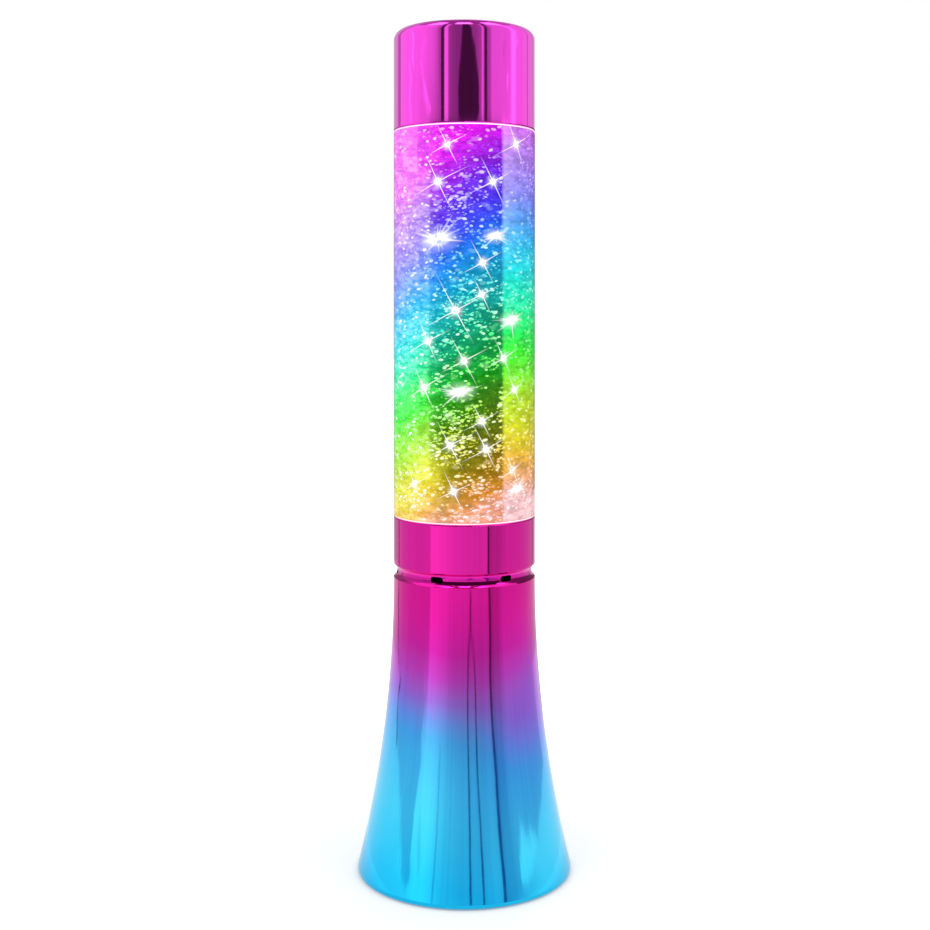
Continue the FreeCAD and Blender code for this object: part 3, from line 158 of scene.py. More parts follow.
class Tree:
    """A node tree that is being built."""

    def __init__(self, tree):
        self.tree = tree
        self.tree.nodes.clear()

    def find(self, sockets, key):
        shown = [socket for socket in sockets if socket.enabled]
        if isinstance(key, int):
            return shown[key]
        return next(socket for socket in shown if socket.name == key)

    def node(self, kind, settings=None, sockets=None, output=0):
        made = self.tree.nodes.new(kind)
        for name, value in (settings or {}).items():
            if name == "stops":
                self.set_stops(made.color_ramp, value)
            else:
                setattr(made, name, value)
        for key, value in (sockets or {}).items():
            socket = self.find(made.inputs, key)
            if isinstance(value, Link):
                self.tree.links.new(value.socket, socket)
            else:
                socket.default_value = value
        if not made.outputs:
            return made
        return Link(self, self.find(made.outputs, output))

    def set_stops(self, ramp, stops):
        while len(ramp.elements) > 1:
            ramp.elements.remove(ramp.elements[-1])
        for number, (position, shade) in enumerate(stops):
            stop = ramp.elements[0] if number == 0 else ramp.elements.new(position)
            stop.position = position
            stop.color = shade

    def parts(self, vector):
        """The three numbers of a vector."""
        node = self.node("ShaderNodeSeparateXYZ", {}, {"Vector": vector}).socket.node
        return [Link(self, node.outputs[axis]) for axis in "XYZ"]

    def ease(self, value, low, high):
        """0 below low, 1 above high, and a smooth step between."""
        sockets = {"Value": value, "From Min": low, "From Max": high}
        return self.node("ShaderNodeMapRange", {"interpolation_type": "SMOOTHSTEP"}, sockets)

    def ramp(self, value, low, high, stops):
        """A run of colours over value, with each stop given in value's own unit."""
        placed = [((at - low) / (high - low), shade) for at, shade in stops]
        share = (value - low) / (high - low)
        return self.node("ShaderNodeValToRGB", {"stops": placed}, {"Fac": share}, "Color")

    def mix(self, share, low, high, blend="MIX"):
        settings = {"data_type": "RGBA", "blend_type": blend}
        return self.node("ShaderNodeMix", settings, {"Factor": share, "A": low, "B": high})


class Finish(Tree):
    """A material under its name."""

    def __init__(self, name):
        self.material = bpy.data.materials.new(name)
        self.material.use_nodes = True
        super().__init__(self.material.node_tree)
        self.place = self.node("ShaderNodeTexCoord", output="Object")

    def stretched(self, x, y, z):
        return self.node("ShaderNodeMapping", {}, {"Vector": self.place, "Scale": (x, y, z)})

    def noise(self, place, scale, detail=2.0):
        return self.node("ShaderNodeTexNoise", {}, {"Vector": place, "Scale": scale, "Detail": detail}, "Fac")

    def bump(self, height):
        """A height in millimetres, felt as a bump."""
        return self.node("ShaderNodeBump", {}, {"Height": height, "Distance": MM, "Strength": 1.0})

    def around(self):
        """The angle round the lamp's axis in degrees, 0 at the front and positive to the right."""
        x, y, _ = self.parts(self.place)
        return self.node("ShaderNodeMath", {"operation": "ARCTAN2"}, {0: x, 1: 0 - y}) * math.degrees(1)

    def done(self, shader):
        self.node("ShaderNodeOutputMaterial", {}, {"Surface": shader})
        return self.material

    def skin(self, sockets):
        return self.done(self.node("ShaderNodeBsdfPrincipled", {}, sockets))


def linear(share):
    """The light that a screen's share of a colour stands for."""
    return share / 12.92 if share <= 0.04045 else ((share + 0.055) / 1.055) ** 2.4


def colour(code):
    """A colour as a shader wants it, from its six hexadecimal digits."""
    shares = [int(code[place:place + 2], 16) / 255 for place in (0, 2, 4)]
    return tuple(linear(share) for share in shares) + (1.0,)


def grey(level):
    return (level, level, level, 1.0)


# Lacquered metal of the base, collar and cap


def lacquer(name, shade):
    """A vacuum-metallised skin under tinted lacquer: mirror bright, with faint streaks and soft waves."""
    finish = Finish(name)
    streaks = finish.noise(finish.stretched(1, 1, 0.02), 700, 3)
    waves = finish.noise(finish.stretched(1, 1, 0.25), 34, 1)
    specks = finish.noise(finish.place, 2600, 1)
    return finish.skin({
        "Base Color": shade(finish, streaks),
        "Metallic": 1.0,
        "Roughness": 0.05 + 0.05 * streaks + 0.04 * finish.ease(specks, 0.62, 0.75),
        "Normal": finish.bump(0.16 * waves + 0.003 * streaks),
    })


def cap_shade(finish, streaks):
    """Bright magenta, a little deeper in the streaks."""
    return finish.mix(streaks * 0.35, colour("FA4FE3"), colour("DE3CC0"))


def collar_shade(finish, streaks):
    """Redder magenta, a little deeper in the streaks."""
    return finish.mix(streaks * 0.35, colour("F82AB4"), colour("E0209E"))


def ombre_shade(finish, streaks):
    """Cyan at the rim, through blue and violet, to magenta at the top, by the height in millimetres. The
    change is cloudy, leans to the left, and is slower on the right."""
    x, _, z = finish.parts(finish.place)
    clouds = finish.noise(finish.stretched(1, 1, 0.5), 45, 3)
    right = finish.ease(x, 0.002, 0.025)
    lean = (100 * x - 1.7) * (1 - right) + right * (11 - 16 * finish.ease(z, 0.058, 0.094))
    height = 1000 * z + lean + 9 * (clouds - 0.5) + 2 * (streaks - 0.5)
    return finish.ramp(height, 0, 130, [
        (5, colour("21C8FA")), (19, colour("38CFFB")), (30, colour("44D2FA")), (41, colour("4ACDFB")),
        (53, colour("4AC3FA")), (61, colour("52B4F8")), (68, colour("749CF4")), (76, colour("A472E4")),
        (86, colour("CE48CF")), (96, colour("E12AB7")), (106, colour("F022AE")), (118, colour("F420A9")),
    ])


# The bottle and what shines in it


def clear_wall(name, bend):
    """Clear moulding that bends light this much where it meets what lies beyond it, with a faint ripple."""
    finish = Finish(name)
    ripple = finish.noise(finish.stretched(1, 1, 0.3), 60, 1)
    return finish.skin({
        "Base Color": grey(1.0),
        "Transmission Weight": 1.0,
        "Roughness": 0.004,
        "IOR": bend,
        "Normal": finish.bump(0.02 * ripple),
    })


def edge_glow():
    """The rounded rims of the clear tube, with a painted highlight: a pale glow for the light that the rims
    catch and the light inside the tube that leaves there.
    """
    finish = Finish("tube_edge_glow")
    cloud = finish.noise(finish.place, 300, 2)
    glow = finish.mix(cloud, colour("FFFFFF"), colour("FFE9F2"))
    return finish.skin({
        "Base Color": colour("F2E6EC"), "Roughness": 0.35,
        "Emission Color": glow, "Emission Strength": 0.55,
    })


def rainbow(finish):
    """The lit fluid's two colours at a place: a deep one, and a bright one for where the painted sheen lies.
    They change by the height in millimetres, in cloudy bands that slant and bow across the tube."""
    x, _, z = finish.parts(finish.place)
    clouds = finish.noise(finish.stretched(1, 1, 1.6), 70, 4)
    slant = 0.68 - finish.ease(x, 0.002, -0.02) * (0.05 + 0.15 * finish.ease(z, 0.225, 0.195))
    height = 1000 * (z - slant * x + 13.9 * x * x) + 9 * (clouds - 0.5)
    deep = finish.ramp(height, 140, 345, [
        (150, colour("F0A080")), (157, colour("CC8418")), (166, colour("967404")), (176, colour("6A6A02")),
        (186, colour("466401")), (196, colour("2A7202")), (206, colour("0A9416")), (217, colour("069446")),
        (229, colour("068F76")), (239, colour("06949C")), (248, colour("0A94BE")), (257, colour("1680DC")),
        (266, colour("2458EE")), (275, colour("4234F0")), (286, colour("6C22E8")), (297, colour("A61AE6")),
        (308, colour("E216F0")),
    ])
    bright = finish.ramp(height, 140, 345, [
        (150, colour("FBC8CC")), (157, colour("F8B296")), (165, colour("F2B440")), (173, colour("E4CC14")),
        (182, colour("D8DC0E")), (191, colour("BCE81C")), (201, colour("84F024")), (211, colour("34F22A")),
        (219, colour("1CF660")), (227, colour("1AF69C")), (236, colour("0CEEC4")), (246, colour("12E0E6")),
        (256, colour("28C4FA")), (266, colour("5AA0FA")), (276, colour("8A8CF8")), (287, colour("AC88F6")),
        (298, colour("C680F4")), (309, colour("EC68F8")), (326, colour("FB64F8")),
    ])
    return deep, bright


def painted_sheen_bands(finish):
    """How bright the fluid is painted round the axis: a painted sheen in broad upright bands, for studio
    light mirrored in the tube, dark at the front. Near the foot the bright left band spreads to the middle,
    and near the top its edge is painted duller."""
    around = finish.around()
    _, _, z = finish.parts(finish.place)
    stands = finish.ramp(around, -180, 180, [
        (-180, grey(0.25)), (-160, grey(0.5)), (-135, grey(0.95)), (-70, grey(1.0)), (-62, grey(0.9)),
        (-44.5, grey(0.92)), (-43, grey(0.75)), (-32.6, grey(0.66)), (-30, grey(0.3)), (-20, grey(0.04)),
        (34.6, grey(0.0)), (35.6, grey(1.0)), (72, grey(0.9)), (95, grey(0.55)), (118, grey(0.1)),
        (150, grey(0.05)), (180, grey(0.25)),
    ])
    # Painted sheen spreads from the left near the foot, and a painted duller stripe lies at its edge near the
    # top
    left = finish.ease(around, 2, -30) * finish.ease(around, -60, -50)
    painted_dull_stripe = finish.ease(around, -45, -43) * finish.ease(around, -30, -33)
    return stands + 0.55 * left * finish.ease(z, 0.188, 0.166) - 0.5 * painted_dull_stripe * finish.ease(z, 0.286, 0.298)


def lit_fluid():
    """Fluid dense with glitter, lit from below: clouded and grainy colour, frosted where the glitter is
    thickest, with specks that lie deeper than the loose flakes. Painted sheen brightens it in upright bands
    and whitens the frost and specks on the left, and painted shade darkens it towards the right."""
    finish = Finish("lit_glitter_fluid")
    x, _, z = finish.parts(finish.place)
    deep, bright = rainbow(finish)
    stands = painted_sheen_bands(finish)
    # The painted sheen bands mix the deep and bright colours, and painted shade darkens them towards the
    # right
    base = finish.mix(1.0, finish.mix(stands, deep, bright), 1.0 - 5.5 * x, "MULTIPLY")
    clouds = finish.noise(finish.stretched(1, 1, 2.4), 150, 4)
    grains = finish.noise(finish.stretched(1, 1, 2.2), 400, 3)
    cloudy = finish.mix(finish.ease(clouds, 0.3, 0.75), grey(0.82), grey(1.3))
    grainy = finish.mix(finish.ease(grains, 0.32, 0.68), grey(0.87), grey(1.13))
    shaded = finish.mix(1.0, finish.mix(1.0, base, cloudy, "MULTIPLY"), grainy, "MULTIPLY")
    # Painted sheen: the frost is whiter on the left and in the bright bands, and the specks are whiter on the
    # left
    left = finish.ease(x, -0.004, -0.016)
    thick = finish.ease(0.55 * clouds + 0.45 * grains, 0.44, 0.62)
    frost = thick * (0.006 + stands * (0.008 + 0.23 * left)) * (0.45 + 0.55 * finish.ease(z, 0.19, 0.235))
    frosted = finish.mix(frost * finish.ease(z, 0.318, 0.292), shaded, grey(0.95))
    specks = finish.node("ShaderNodeTexVoronoi", {"feature": "F1"}, {
        "Vector": finish.stretched(1, 1, 1.9), "Scale": 620, "Randomness": 1.0}, "Distance")
    near = finish.ease(specks, 0.34, 0.12) * finish.ease(clouds, 0.35, 0.62)
    speckled = finish.mix(near * 0.6, frosted, finish.mix(0.02 + 0.22 * left, bright, grey(1.0)))
    return finish.skin({
        "Base Color": finish.mix(0.9, speckled, grey(0.0)),
        "Roughness": 0.5,
        "Specular IOR Level": 0.0,
        "Emission Color": speckled,
        "Emission Strength": 1.0,
    })


def flake_foil(name, strength):
    """Foil flakes that catch the light of the fluid about them, each in its own strength, soft at the rim.
    Their glow is painted light in the fluid's bright colour, whiter on the left and duller on the right.
    """
    finish = Finish(name)
    tint = finish.node("ShaderNodeAttribute", {"attribute_name": "tint"}, output="Fac")
    fade = finish.node("ShaderNodeAttribute", {"attribute_name": "fade"}, output="Fac")
    x, _, _ = finish.parts(finish.place)
    _, bright = rainbow(finish)
    # Painted sheen makes the flakes whiter on the left, and painted shade makes them duller on the right
    pale = tint * (1.1 - 0.4 * finish.ease(x, -0.016, -0.01) - 0.28 * finish.ease(x, 0.011, 0.017))
    return finish.skin({
        "Base Color": finish.mix(0.9, bright, grey(0.0)),
        "Roughness": 0.5,
        "Specular IOR Level": 0.0,
        "Emission Color": finish.mix(pale, bright, grey(1.0)),
        "Emission Strength": 1.2,
        "Alpha": strength * finish.ease(fade, 0.0, 0.38),
    })


def glint_light():
    """White light that fades as the strips' own fade says."""
    finish = Finish("glint_light")
    fade = finish.node("ShaderNodeAttribute", {"attribute_name": "fade"}, output="Fac")
    return finish.skin({
        "Base Color": grey(0.05), "Roughness": 0.5,
        "Emission Color": grey(1.0), "Emission Strength": 1.15,
        "Alpha": fade,
    })


# Plain finishes of the other pieces


def moulded(name, body, marks, roughness, grain=900):
    """Moulded plastic: a fine spark-eroded grain with a slow change of tone."""
    finish = Finish(name)
    tone = finish.noise(finish.place, 90, 3)
    texture = finish.noise(finish.place, grain, 3)
    return finish.skin({
        "Base Color": finish.mix(tone, colour(body), colour(marks)),
        "Roughness": roughness + 0.12 * texture,
        "Normal": finish.bump(0.03 * texture),
    })


def metal(name, body, marks, roughness, lines=(1, 1, 8)):
    """Turned or drawn metal, with tool lines and a few duller spots."""
    finish = Finish(name)
    drawn = finish.noise(finish.stretched(*lines), 900, 2)
    spots = finish.noise(finish.place, 260, 3)
    return finish.skin({
        "Base Color": finish.mix(spots, colour(body), colour(marks)),
        "Metallic": 1.0,
        "Roughness": roughness + 0.15 * drawn,
        "Normal": finish.bump(0.01 * drawn),
    })


def cell_jacket():
    """Printed foil round a cell: a dark sleeve with a copper band at one end and a bare metal button."""
    finish = Finish("cell_jacket_foil")
    x, _, _ = finish.parts(finish.place)
    band_start, button_start, edge = 0.0095, 0.0243, 0.0002
    band = finish.ease(x, band_start, band_start + edge)
    button = finish.ease(x, button_start, button_start + edge)
    sleeve = finish.mix(band, colour("20242B"), colour("C98A3C"))
    return finish.skin({
        "Base Color": finish.mix(button, sleeve, colour("C9CCD0")),
        "Metallic": 0.85,
        "Roughness": 0.26 + 0.1 * finish.noise(finish.place, 400, 2),
    })


def board():
    """Green solder mask over traces, with the glass weave just showing."""
    finish = Finish("board_mask")
    traces = finish.node("ShaderNodeTexBrick", {"offset": 0.5}, {
        "Vector": finish.place, "Scale": 260, "Color1": grey(0.0), "Color2": grey(0.25), "Mortar": grey(1.0),
        "Mortar Size": 0.06}, "Color")
    weave = finish.noise(finish.stretched(1, 1, 0.1), 1400, 1)
    return finish.skin({
        "Base Color": finish.mix(traces, colour("0C5A2E"), colour("1C7C42")),
        "Roughness": 0.3 + 0.2 * weave,
        "Coat Weight": 0.4,
        "Normal": finish.bump(0.02 * weave),
    })


def lamp_lens():
    """Water-clear moulding over a lit chip: brightest near its foot."""
    finish = Finish("lamp_lens")
    low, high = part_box("leds")
    _, _, z = finish.parts(finish.place)
    glow = finish.mix(finish.ease(z, low.z, high.z), colour("FFFFFF"), colour("A8C8FF"))
    return finish.skin({
        "Base Color": colour("EAF4FF"), "Roughness": 0.08,
        "Emission Color": glow, "Emission Strength": 0.8,
    })


def window():
    """Clear sheet with a frosted face, through which the lamps shine into the bottle."""
    finish = Finish("frosted_window_sheet")
    frost = finish.noise(finish.place, 1800, 2)
    return finish.skin({
        "Base Color": colour("F4F8FC"), "Transmission Weight": 0.85, "IOR": CLEAR_BEND,
        "Roughness": 0.3 + 0.25 * frost,
        "Normal": finish.bump(0.03 * frost),
    })


FINISHES = {
    "base_ombre": lacquer("base_ombre_lacquer", ombre_shade),
    "collar_magenta": lacquer("collar_lacquer", collar_shade),
    "cap_magenta": lacquer("cap_lacquer", cap_shade),
    "black_plastic": moulded("black_moulding", "0E0E10", "17171A", 0.42),
    "white_plastic": moulded("white_moulding", "E9E9E6", "DCDCD8", 0.35),
    "chip_black": moulded("chip_resin", "111214", "1C1E22", 0.5),
    "rubber_foot": moulded("foot_rubber", "19191B", "242427", 0.75, 1600),
    "seal_rubber": moulded("seal_rubber_ring", "2A2A2C", "37373A", 0.6),
    "lead_red": moulded("lead_sleeve", "B3201C", "8E1512", 0.4),
    "steel": metal("screw_steel", "B9BCC2", "A1A4AA", 0.24),
    "nickel": metal("nickel_plate", "C9C4B8", "B3AEA2", 0.18),
    "motor_steel": metal("motor_can_steel", "B4B7BB", "9DA1A6", 0.3, (1, 1, 0.1)),
    "magnet": metal("magnet_ferrite", "45474C", "34363A", 0.45),
    "armature_metal": metal("armature_copper", "B87442", "8E8F93", 0.35),
    "cell_jacket": cell_jacket(),
    "circuit_board": board(),
    "led_lens": lamp_lens(),
    "frosted_window": window(),
}


def dress_nodes():
    """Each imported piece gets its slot's finish."""
    for row in frame["record"]["subparts"]:
        if row["material_slot"] in FINISHES:
            materials = frame["nodes"][row["node"]].data.materials
            for number in range(len(materials)):
                materials[number] = FINISHES[row["material_slot"]]


# Turned shapes


def on_ring(radius, turn, z):
    """A point at a distance from the lamp's axis. The turn is 0 at the front and positive to the right."""
    return (radius * math.sin(turn), -radius * math.cos(turn), z)


def rounded(radius, z, size, start, steps=5):
    """Points of a quarter round of the given size about its centre, from the angle start, turning left."""
    return [
        (radius + size * math.cos(math.radians(start + 90 * step / steps)),
         z + size * math.sin(math.radians(start + 90 * step / steps)))
        for step in range(steps + 1)
    ]


def turned(name, sections, around=AROUND):
    """A mesh turned about the upright axis. A section is its material's number and its outline's points, and
    it starts at the last point of the section before, where the edge is sharp."""
    shape = bmesh.new()
    rings = []
    sharp = set()
    walls = []
    for slot, points in sections:
        for number, (radius, z) in enumerate(points):
            if number == 0 and rings:
                sharp.add(len(rings) - 1)
                continue
            count = around if radius > 0 else 1
            turns = [2 * math.pi * step / around for step in range(count)]
            rings.append([shape.verts.new(on_ring(radius, turn, z)) for turn in turns])
            if number:
                walls.append((rings[-2], rings[-1], slot))
    for near, far, slot in walls:
        for step in range(around):
            following = (step + 1) % around
            near_edge = [near[step % len(near)], near[following % len(near)]]
            far_edge = [far[following % len(far)], far[step % len(far)]]
            corners = list(dict.fromkeys(near_edge + far_edge))
            if len(corners) > 2:
                shape.faces.new(corners).material_index = slot
    for number in sharp:
        ring = set(rings[number])
        for vertex in rings[number]:
            for edge in vertex.link_edges:
                if edge.other_vert(vertex) in ring:
                    edge.smooth = False
    for face in shape.faces:
        face.smooth = True
    shape.normal_update()
    mesh = bpy.data.meshes.new(name)
    shape.to_mesh(mesh)
    shape.free()
    return mesh


def piece(name, mesh, finishes, body=None):
    """An object of the mesh in its finishes, which rides on a body if one is named."""
    made = bpy.data.objects.new(name, mesh)
    bpy.context.scene.collection.objects.link(made)
    for finish in finishes:
        mesh.materials.append(finish)
    if body:
        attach(made, body)
    return made


def bottle(fluid_finish):
    """The clear moulding, wet inside: its outer faces bend light as in air, its wet ones as against the
    fluid. Glitter settles on the inner faces of the shoulders and necks, which show the lit fluid itself."""
    outer, wet, edge, settled = 0, 1, 2, 3
    boss_top = BOTTLE_FLOOR + PIN_BOSS_HEIGHT
    round_at = TUBE_RADIUS - EDGE_ROUND
    sections = [
        (outer, [(0, BOTTLE_LOW.z), (NECK_RADIUS - EDGE_ROUND, BOTTLE_LOW.z)]),
        (outer, rounded(NECK_RADIUS - EDGE_ROUND, BOTTLE_LOW.z + EDGE_ROUND, EDGE_ROUND, -90)
         + [(NECK_RADIUS, TUBE_BASE)]),
        (edge, [(NECK_RADIUS, TUBE_BASE), (round_at, TUBE_BASE)]),
        (edge, rounded(round_at, TUBE_BASE + EDGE_ROUND, EDGE_ROUND, -90)),
        (outer, [(TUBE_RADIUS, TUBE_BASE + EDGE_ROUND), (TUBE_RADIUS, TUBE_TOP - EDGE_ROUND)]),
        (edge, rounded(round_at, TUBE_TOP - EDGE_ROUND, EDGE_ROUND, 0)),
        (edge, [(round_at, TUBE_TOP), (NECK_RADIUS, TUBE_TOP)]),
        (outer, [(NECK_RADIUS, TUBE_TOP), (NECK_RADIUS, BOTTLE_HIGH.z)]),
        (outer, [(NECK_RADIUS, BOTTLE_HIGH.z), (NECK_BORE, BOTTLE_HIGH.z)]),
        (settled, [(NECK_BORE, BOTTLE_HIGH.z), (NECK_BORE, TUBE_TOP - BOTTLE_WALL)]),
        (settled, [(NECK_BORE, TUBE_TOP - BOTTLE_WALL), (BORE, TUBE_TOP - SHOULDER)]),
        (wet, [(BORE, TUBE_TOP - SHOULDER), (BORE, TUBE_BASE + SHOULDER)]),
        (settled, [(BORE, TUBE_BASE + SHOULDER), (NECK_BORE, TUBE_BASE + BOTTLE_WALL)]),
        (settled, [(NECK_BORE, TUBE_BASE + BOTTLE_WALL), (NECK_BORE, BOTTLE_FLOOR)]),
        (wet, [(NECK_BORE, BOTTLE_FLOOR), (PIN_BOSS_RADIUS, BOTTLE_FLOOR)]),
        (wet, [(PIN_BOSS_RADIUS, BOTTLE_FLOOR), (PIN_BOSS_RADIUS, boss_top)]),
        (wet, [(PIN_BOSS_RADIUS, boss_top), (0, boss_top)]),
    ]
    dry_wall = clear_wall("bottle_wall_dry", CLEAR_BEND)
    wet_wall = clear_wall("bottle_wall_wet", CLEAR_BEND / FLUID_BEND)
    finishes = [dry_wall, wet_wall, edge_glow(), fluid_finish]
    made = piece("clear_bottle", turned("clear_bottle", sections), finishes, "bottle")
    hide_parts("bottle_tube")


def fluid(fluid_finish):
    """The coloured body of the fluid, a little inside the wall, with room at its foot for the stirrer."""
    low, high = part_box("glitter_fluid")
    wheel_top = low.z + WHEEL_SPACE_HEIGHT
    wide, narrow = BORE - GLITTER_DEPTH, NECK_BORE - NECK_FILM
    cone = SHOULDER - GLITTER_DEPTH + NECK_FILM
    mouth = BOTTLE_WALL + NECK_FILM
    sections = [
        (0, [(0, wheel_top), (WHEEL_SPACE_RADIUS, wheel_top)]),
        (0, [(WHEEL_SPACE_RADIUS, wheel_top), (WHEEL_SPACE_RADIUS, low.z)]),
        (0, [(WHEEL_SPACE_RADIUS, low.z), (narrow, low.z)]),
        (0, [(narrow, low.z), (narrow, TUBE_BASE + mouth), (wide, TUBE_BASE + cone),
             (wide, TUBE_TOP - cone), (narrow, TUBE_TOP - mouth), (narrow, high.z)]),
        (0, [(narrow, high.z), (0, high.z)]),
    ]
    made = piece("lit_fluid", turned("lit_fluid", sections), [fluid_finish], "bottle")
    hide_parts("glitter_fluid")


def flakes(name, foil_finish, density, lower_gain, width, spread, tint, seed):
    """Loose flakes strewn in drifts over the fluid's outside, each a flat oval foil lying along the wall. The
    density is a square metre's count at the top, and lower_gain is how much it grows towards the foot."""
    group = bpy.data.node_groups.new(name + "_pattern", "GeometryNodeTree")
    tree = Tree(group)
    group.interface.new_socket("Geometry", in_out="OUTPUT", socket_type="NodeSocketGeometry")
    sizes = {
        "Radius": BORE - FLAKE_GAP,
        "Depth": GLITTER_DEPTH - 3 * FLAKE_GAP,
        "Low": TUBE_BASE + END_GAP,
        "Height": TUBE_LENGTH - 2 * END_GAP,
        "Density": density,
        "Lower Gain": lower_gain,
        "Width": width,
        "Spread": spread,
    }
    named = {
        key: group.interface.new_socket(key, in_out="INPUT", socket_type="NodeSocketFloat").identifier
        for key in sizes
    }
    entry = tree.node("NodeGroupInput").socket.node
    size = {key: Link(tree, tree.find(entry.outputs, key)) for key in sizes}

    def chance(low, high, offset):
        return tree.node("FunctionNodeRandomValue", {"data_type": "FLOAT"}, {
            "Min": low, "Max": high, "Seed": seed + offset})

    wall = tree.node("GeometryNodeMeshCylinder", {"fill_type": "NONE"}, {
        "Vertices": 128, "Side Segments": 64, "Radius": size["Radius"], "Depth": size["Height"]})
    lift = tree.node("ShaderNodeCombineXYZ", {}, {"Z": size["Low"] + size["Height"] / 2})
    raised = tree.node("GeometryNodeTransform", {}, {"Geometry": wall, "Translation": lift})
    place = tree.node("GeometryNodeInputPosition")
    x, y, z = tree.parts(place)
    depth = 1 - (z - size["Low"]) / size["Height"]
    flat = tree.node("ShaderNodeVectorMath", {"operation": "MULTIPLY"}, {0: place, 1: (1, 1, 2.2)})
    drift = tree.node("ShaderNodeTexNoise", {}, {"Vector": flat, "Scale": 85, "Detail": 2.0}, "Fac")
    drifted = 0.12 + 1.9 * tree.ease(drift, 0.4, 0.66)
    crowd = size["Density"] * (1 + size["Lower Gain"] * depth) * drifted
    strewn = tree.node("GeometryNodeDistributePointsOnFaces", {"distribute_method": "RANDOM"}, {
        "Mesh": raised, "Density": crowd, "Seed": seed})
    inward = 0 - chance(0.0, 1.0, 1) * size["Depth"] / size["Radius"]
    shift = tree.node("ShaderNodeCombineXYZ", {}, {"X": x * inward, "Y": y * inward})
    settled = tree.node("GeometryNodeSetPosition", {}, {"Geometry": strewn, "Offset": shift})
    turn = tree.node("ShaderNodeMath", {"operation": "ARCTAN2"}, {0: x, 1: 0 - y})
    angles = tree.node("ShaderNodeCombineXYZ", {}, {
        "X": math.pi / 2 + chance(-0.12, 0.12, 2),
        "Y": chance(-0.45, 0.3, 3),
        "Z": turn + chance(-0.1, 0.1, 4),
    })
    rotation = tree.node("FunctionNodeEulerToRotation", {}, {"Euler": angles})
    large = size["Width"] * (1 + size["Spread"] * chance(0.0, 1.0, 5) ** 2)
    scale = tree.node("ShaderNodeCombineXYZ", {}, {
        "X": large * chance(0.8, 1.25, 6), "Y": large * chance(0.45, 0.7, 7), "Z": 1.0})
    foil = tree.node("GeometryNodeMeshCircle", {"fill_type": "TRIANGLE_FAN"}, {"Vertices": 8, "Radius": 0.5})
    reach = tree.node("ShaderNodeVectorMath", {"operation": "LENGTH"}, {0: place}, "Value")
    soft = tree.node("GeometryNodeStoreNamedAttribute", {"data_type": "FLOAT", "domain": "POINT"}, {
        "Geometry": foil, "Name": "fade", "Value": 1 - 2 * reach})
    placed = tree.node("GeometryNodeInstanceOnPoints", {}, {
        "Points": settled, "Instance": soft, "Rotation": rotation, "Scale": scale})
    tinted = tree.node("GeometryNodeStoreNamedAttribute", {"data_type": "FLOAT", "domain": "INSTANCE"}, {
        "Geometry": placed, "Name": "tint", "Value": chance(tint[0], tint[1], 8)})
    real = tree.node("GeometryNodeRealizeInstances", {}, {"Geometry": tinted})
    dressed = tree.node("GeometryNodeSetMaterial", {}, {"Geometry": real, "Material": foil_finish})
    tree.node("NodeGroupOutput", {}, {"Geometry": dressed})

    source = piece(name + "_source", bpy.data.meshes.new(name), [])
    modifier = source.modifiers.new("pattern", "NODES")
    modifier.node_group = group
    for key, value in sizes.items():
        modifier[named[key]] = value
    evaluated = source.evaluated_get(bpy.context.evaluated_depsgraph_get())
    mesh = bpy.data.meshes.new_from_object(evaluated)
    bpy.data.objects.remove(source)
    mesh.name = name
    return piece(name, mesh, [], "bottle")


def seen_azimuth(offset, radius):
    """The azimuth on a cylinder in the fluid of what the front shows at this distance from the axis."""
    turn = math.asin(offset / TUBE_RADIUS)
    for bend, outside, inside in ((CLEAR_BEND, TUBE_RADIUS, BORE), (FLUID_BEND, BORE, radius)):
        turn += math.asin(offset / bend / inside) - math.asin(offset / bend / outside)
    return turn


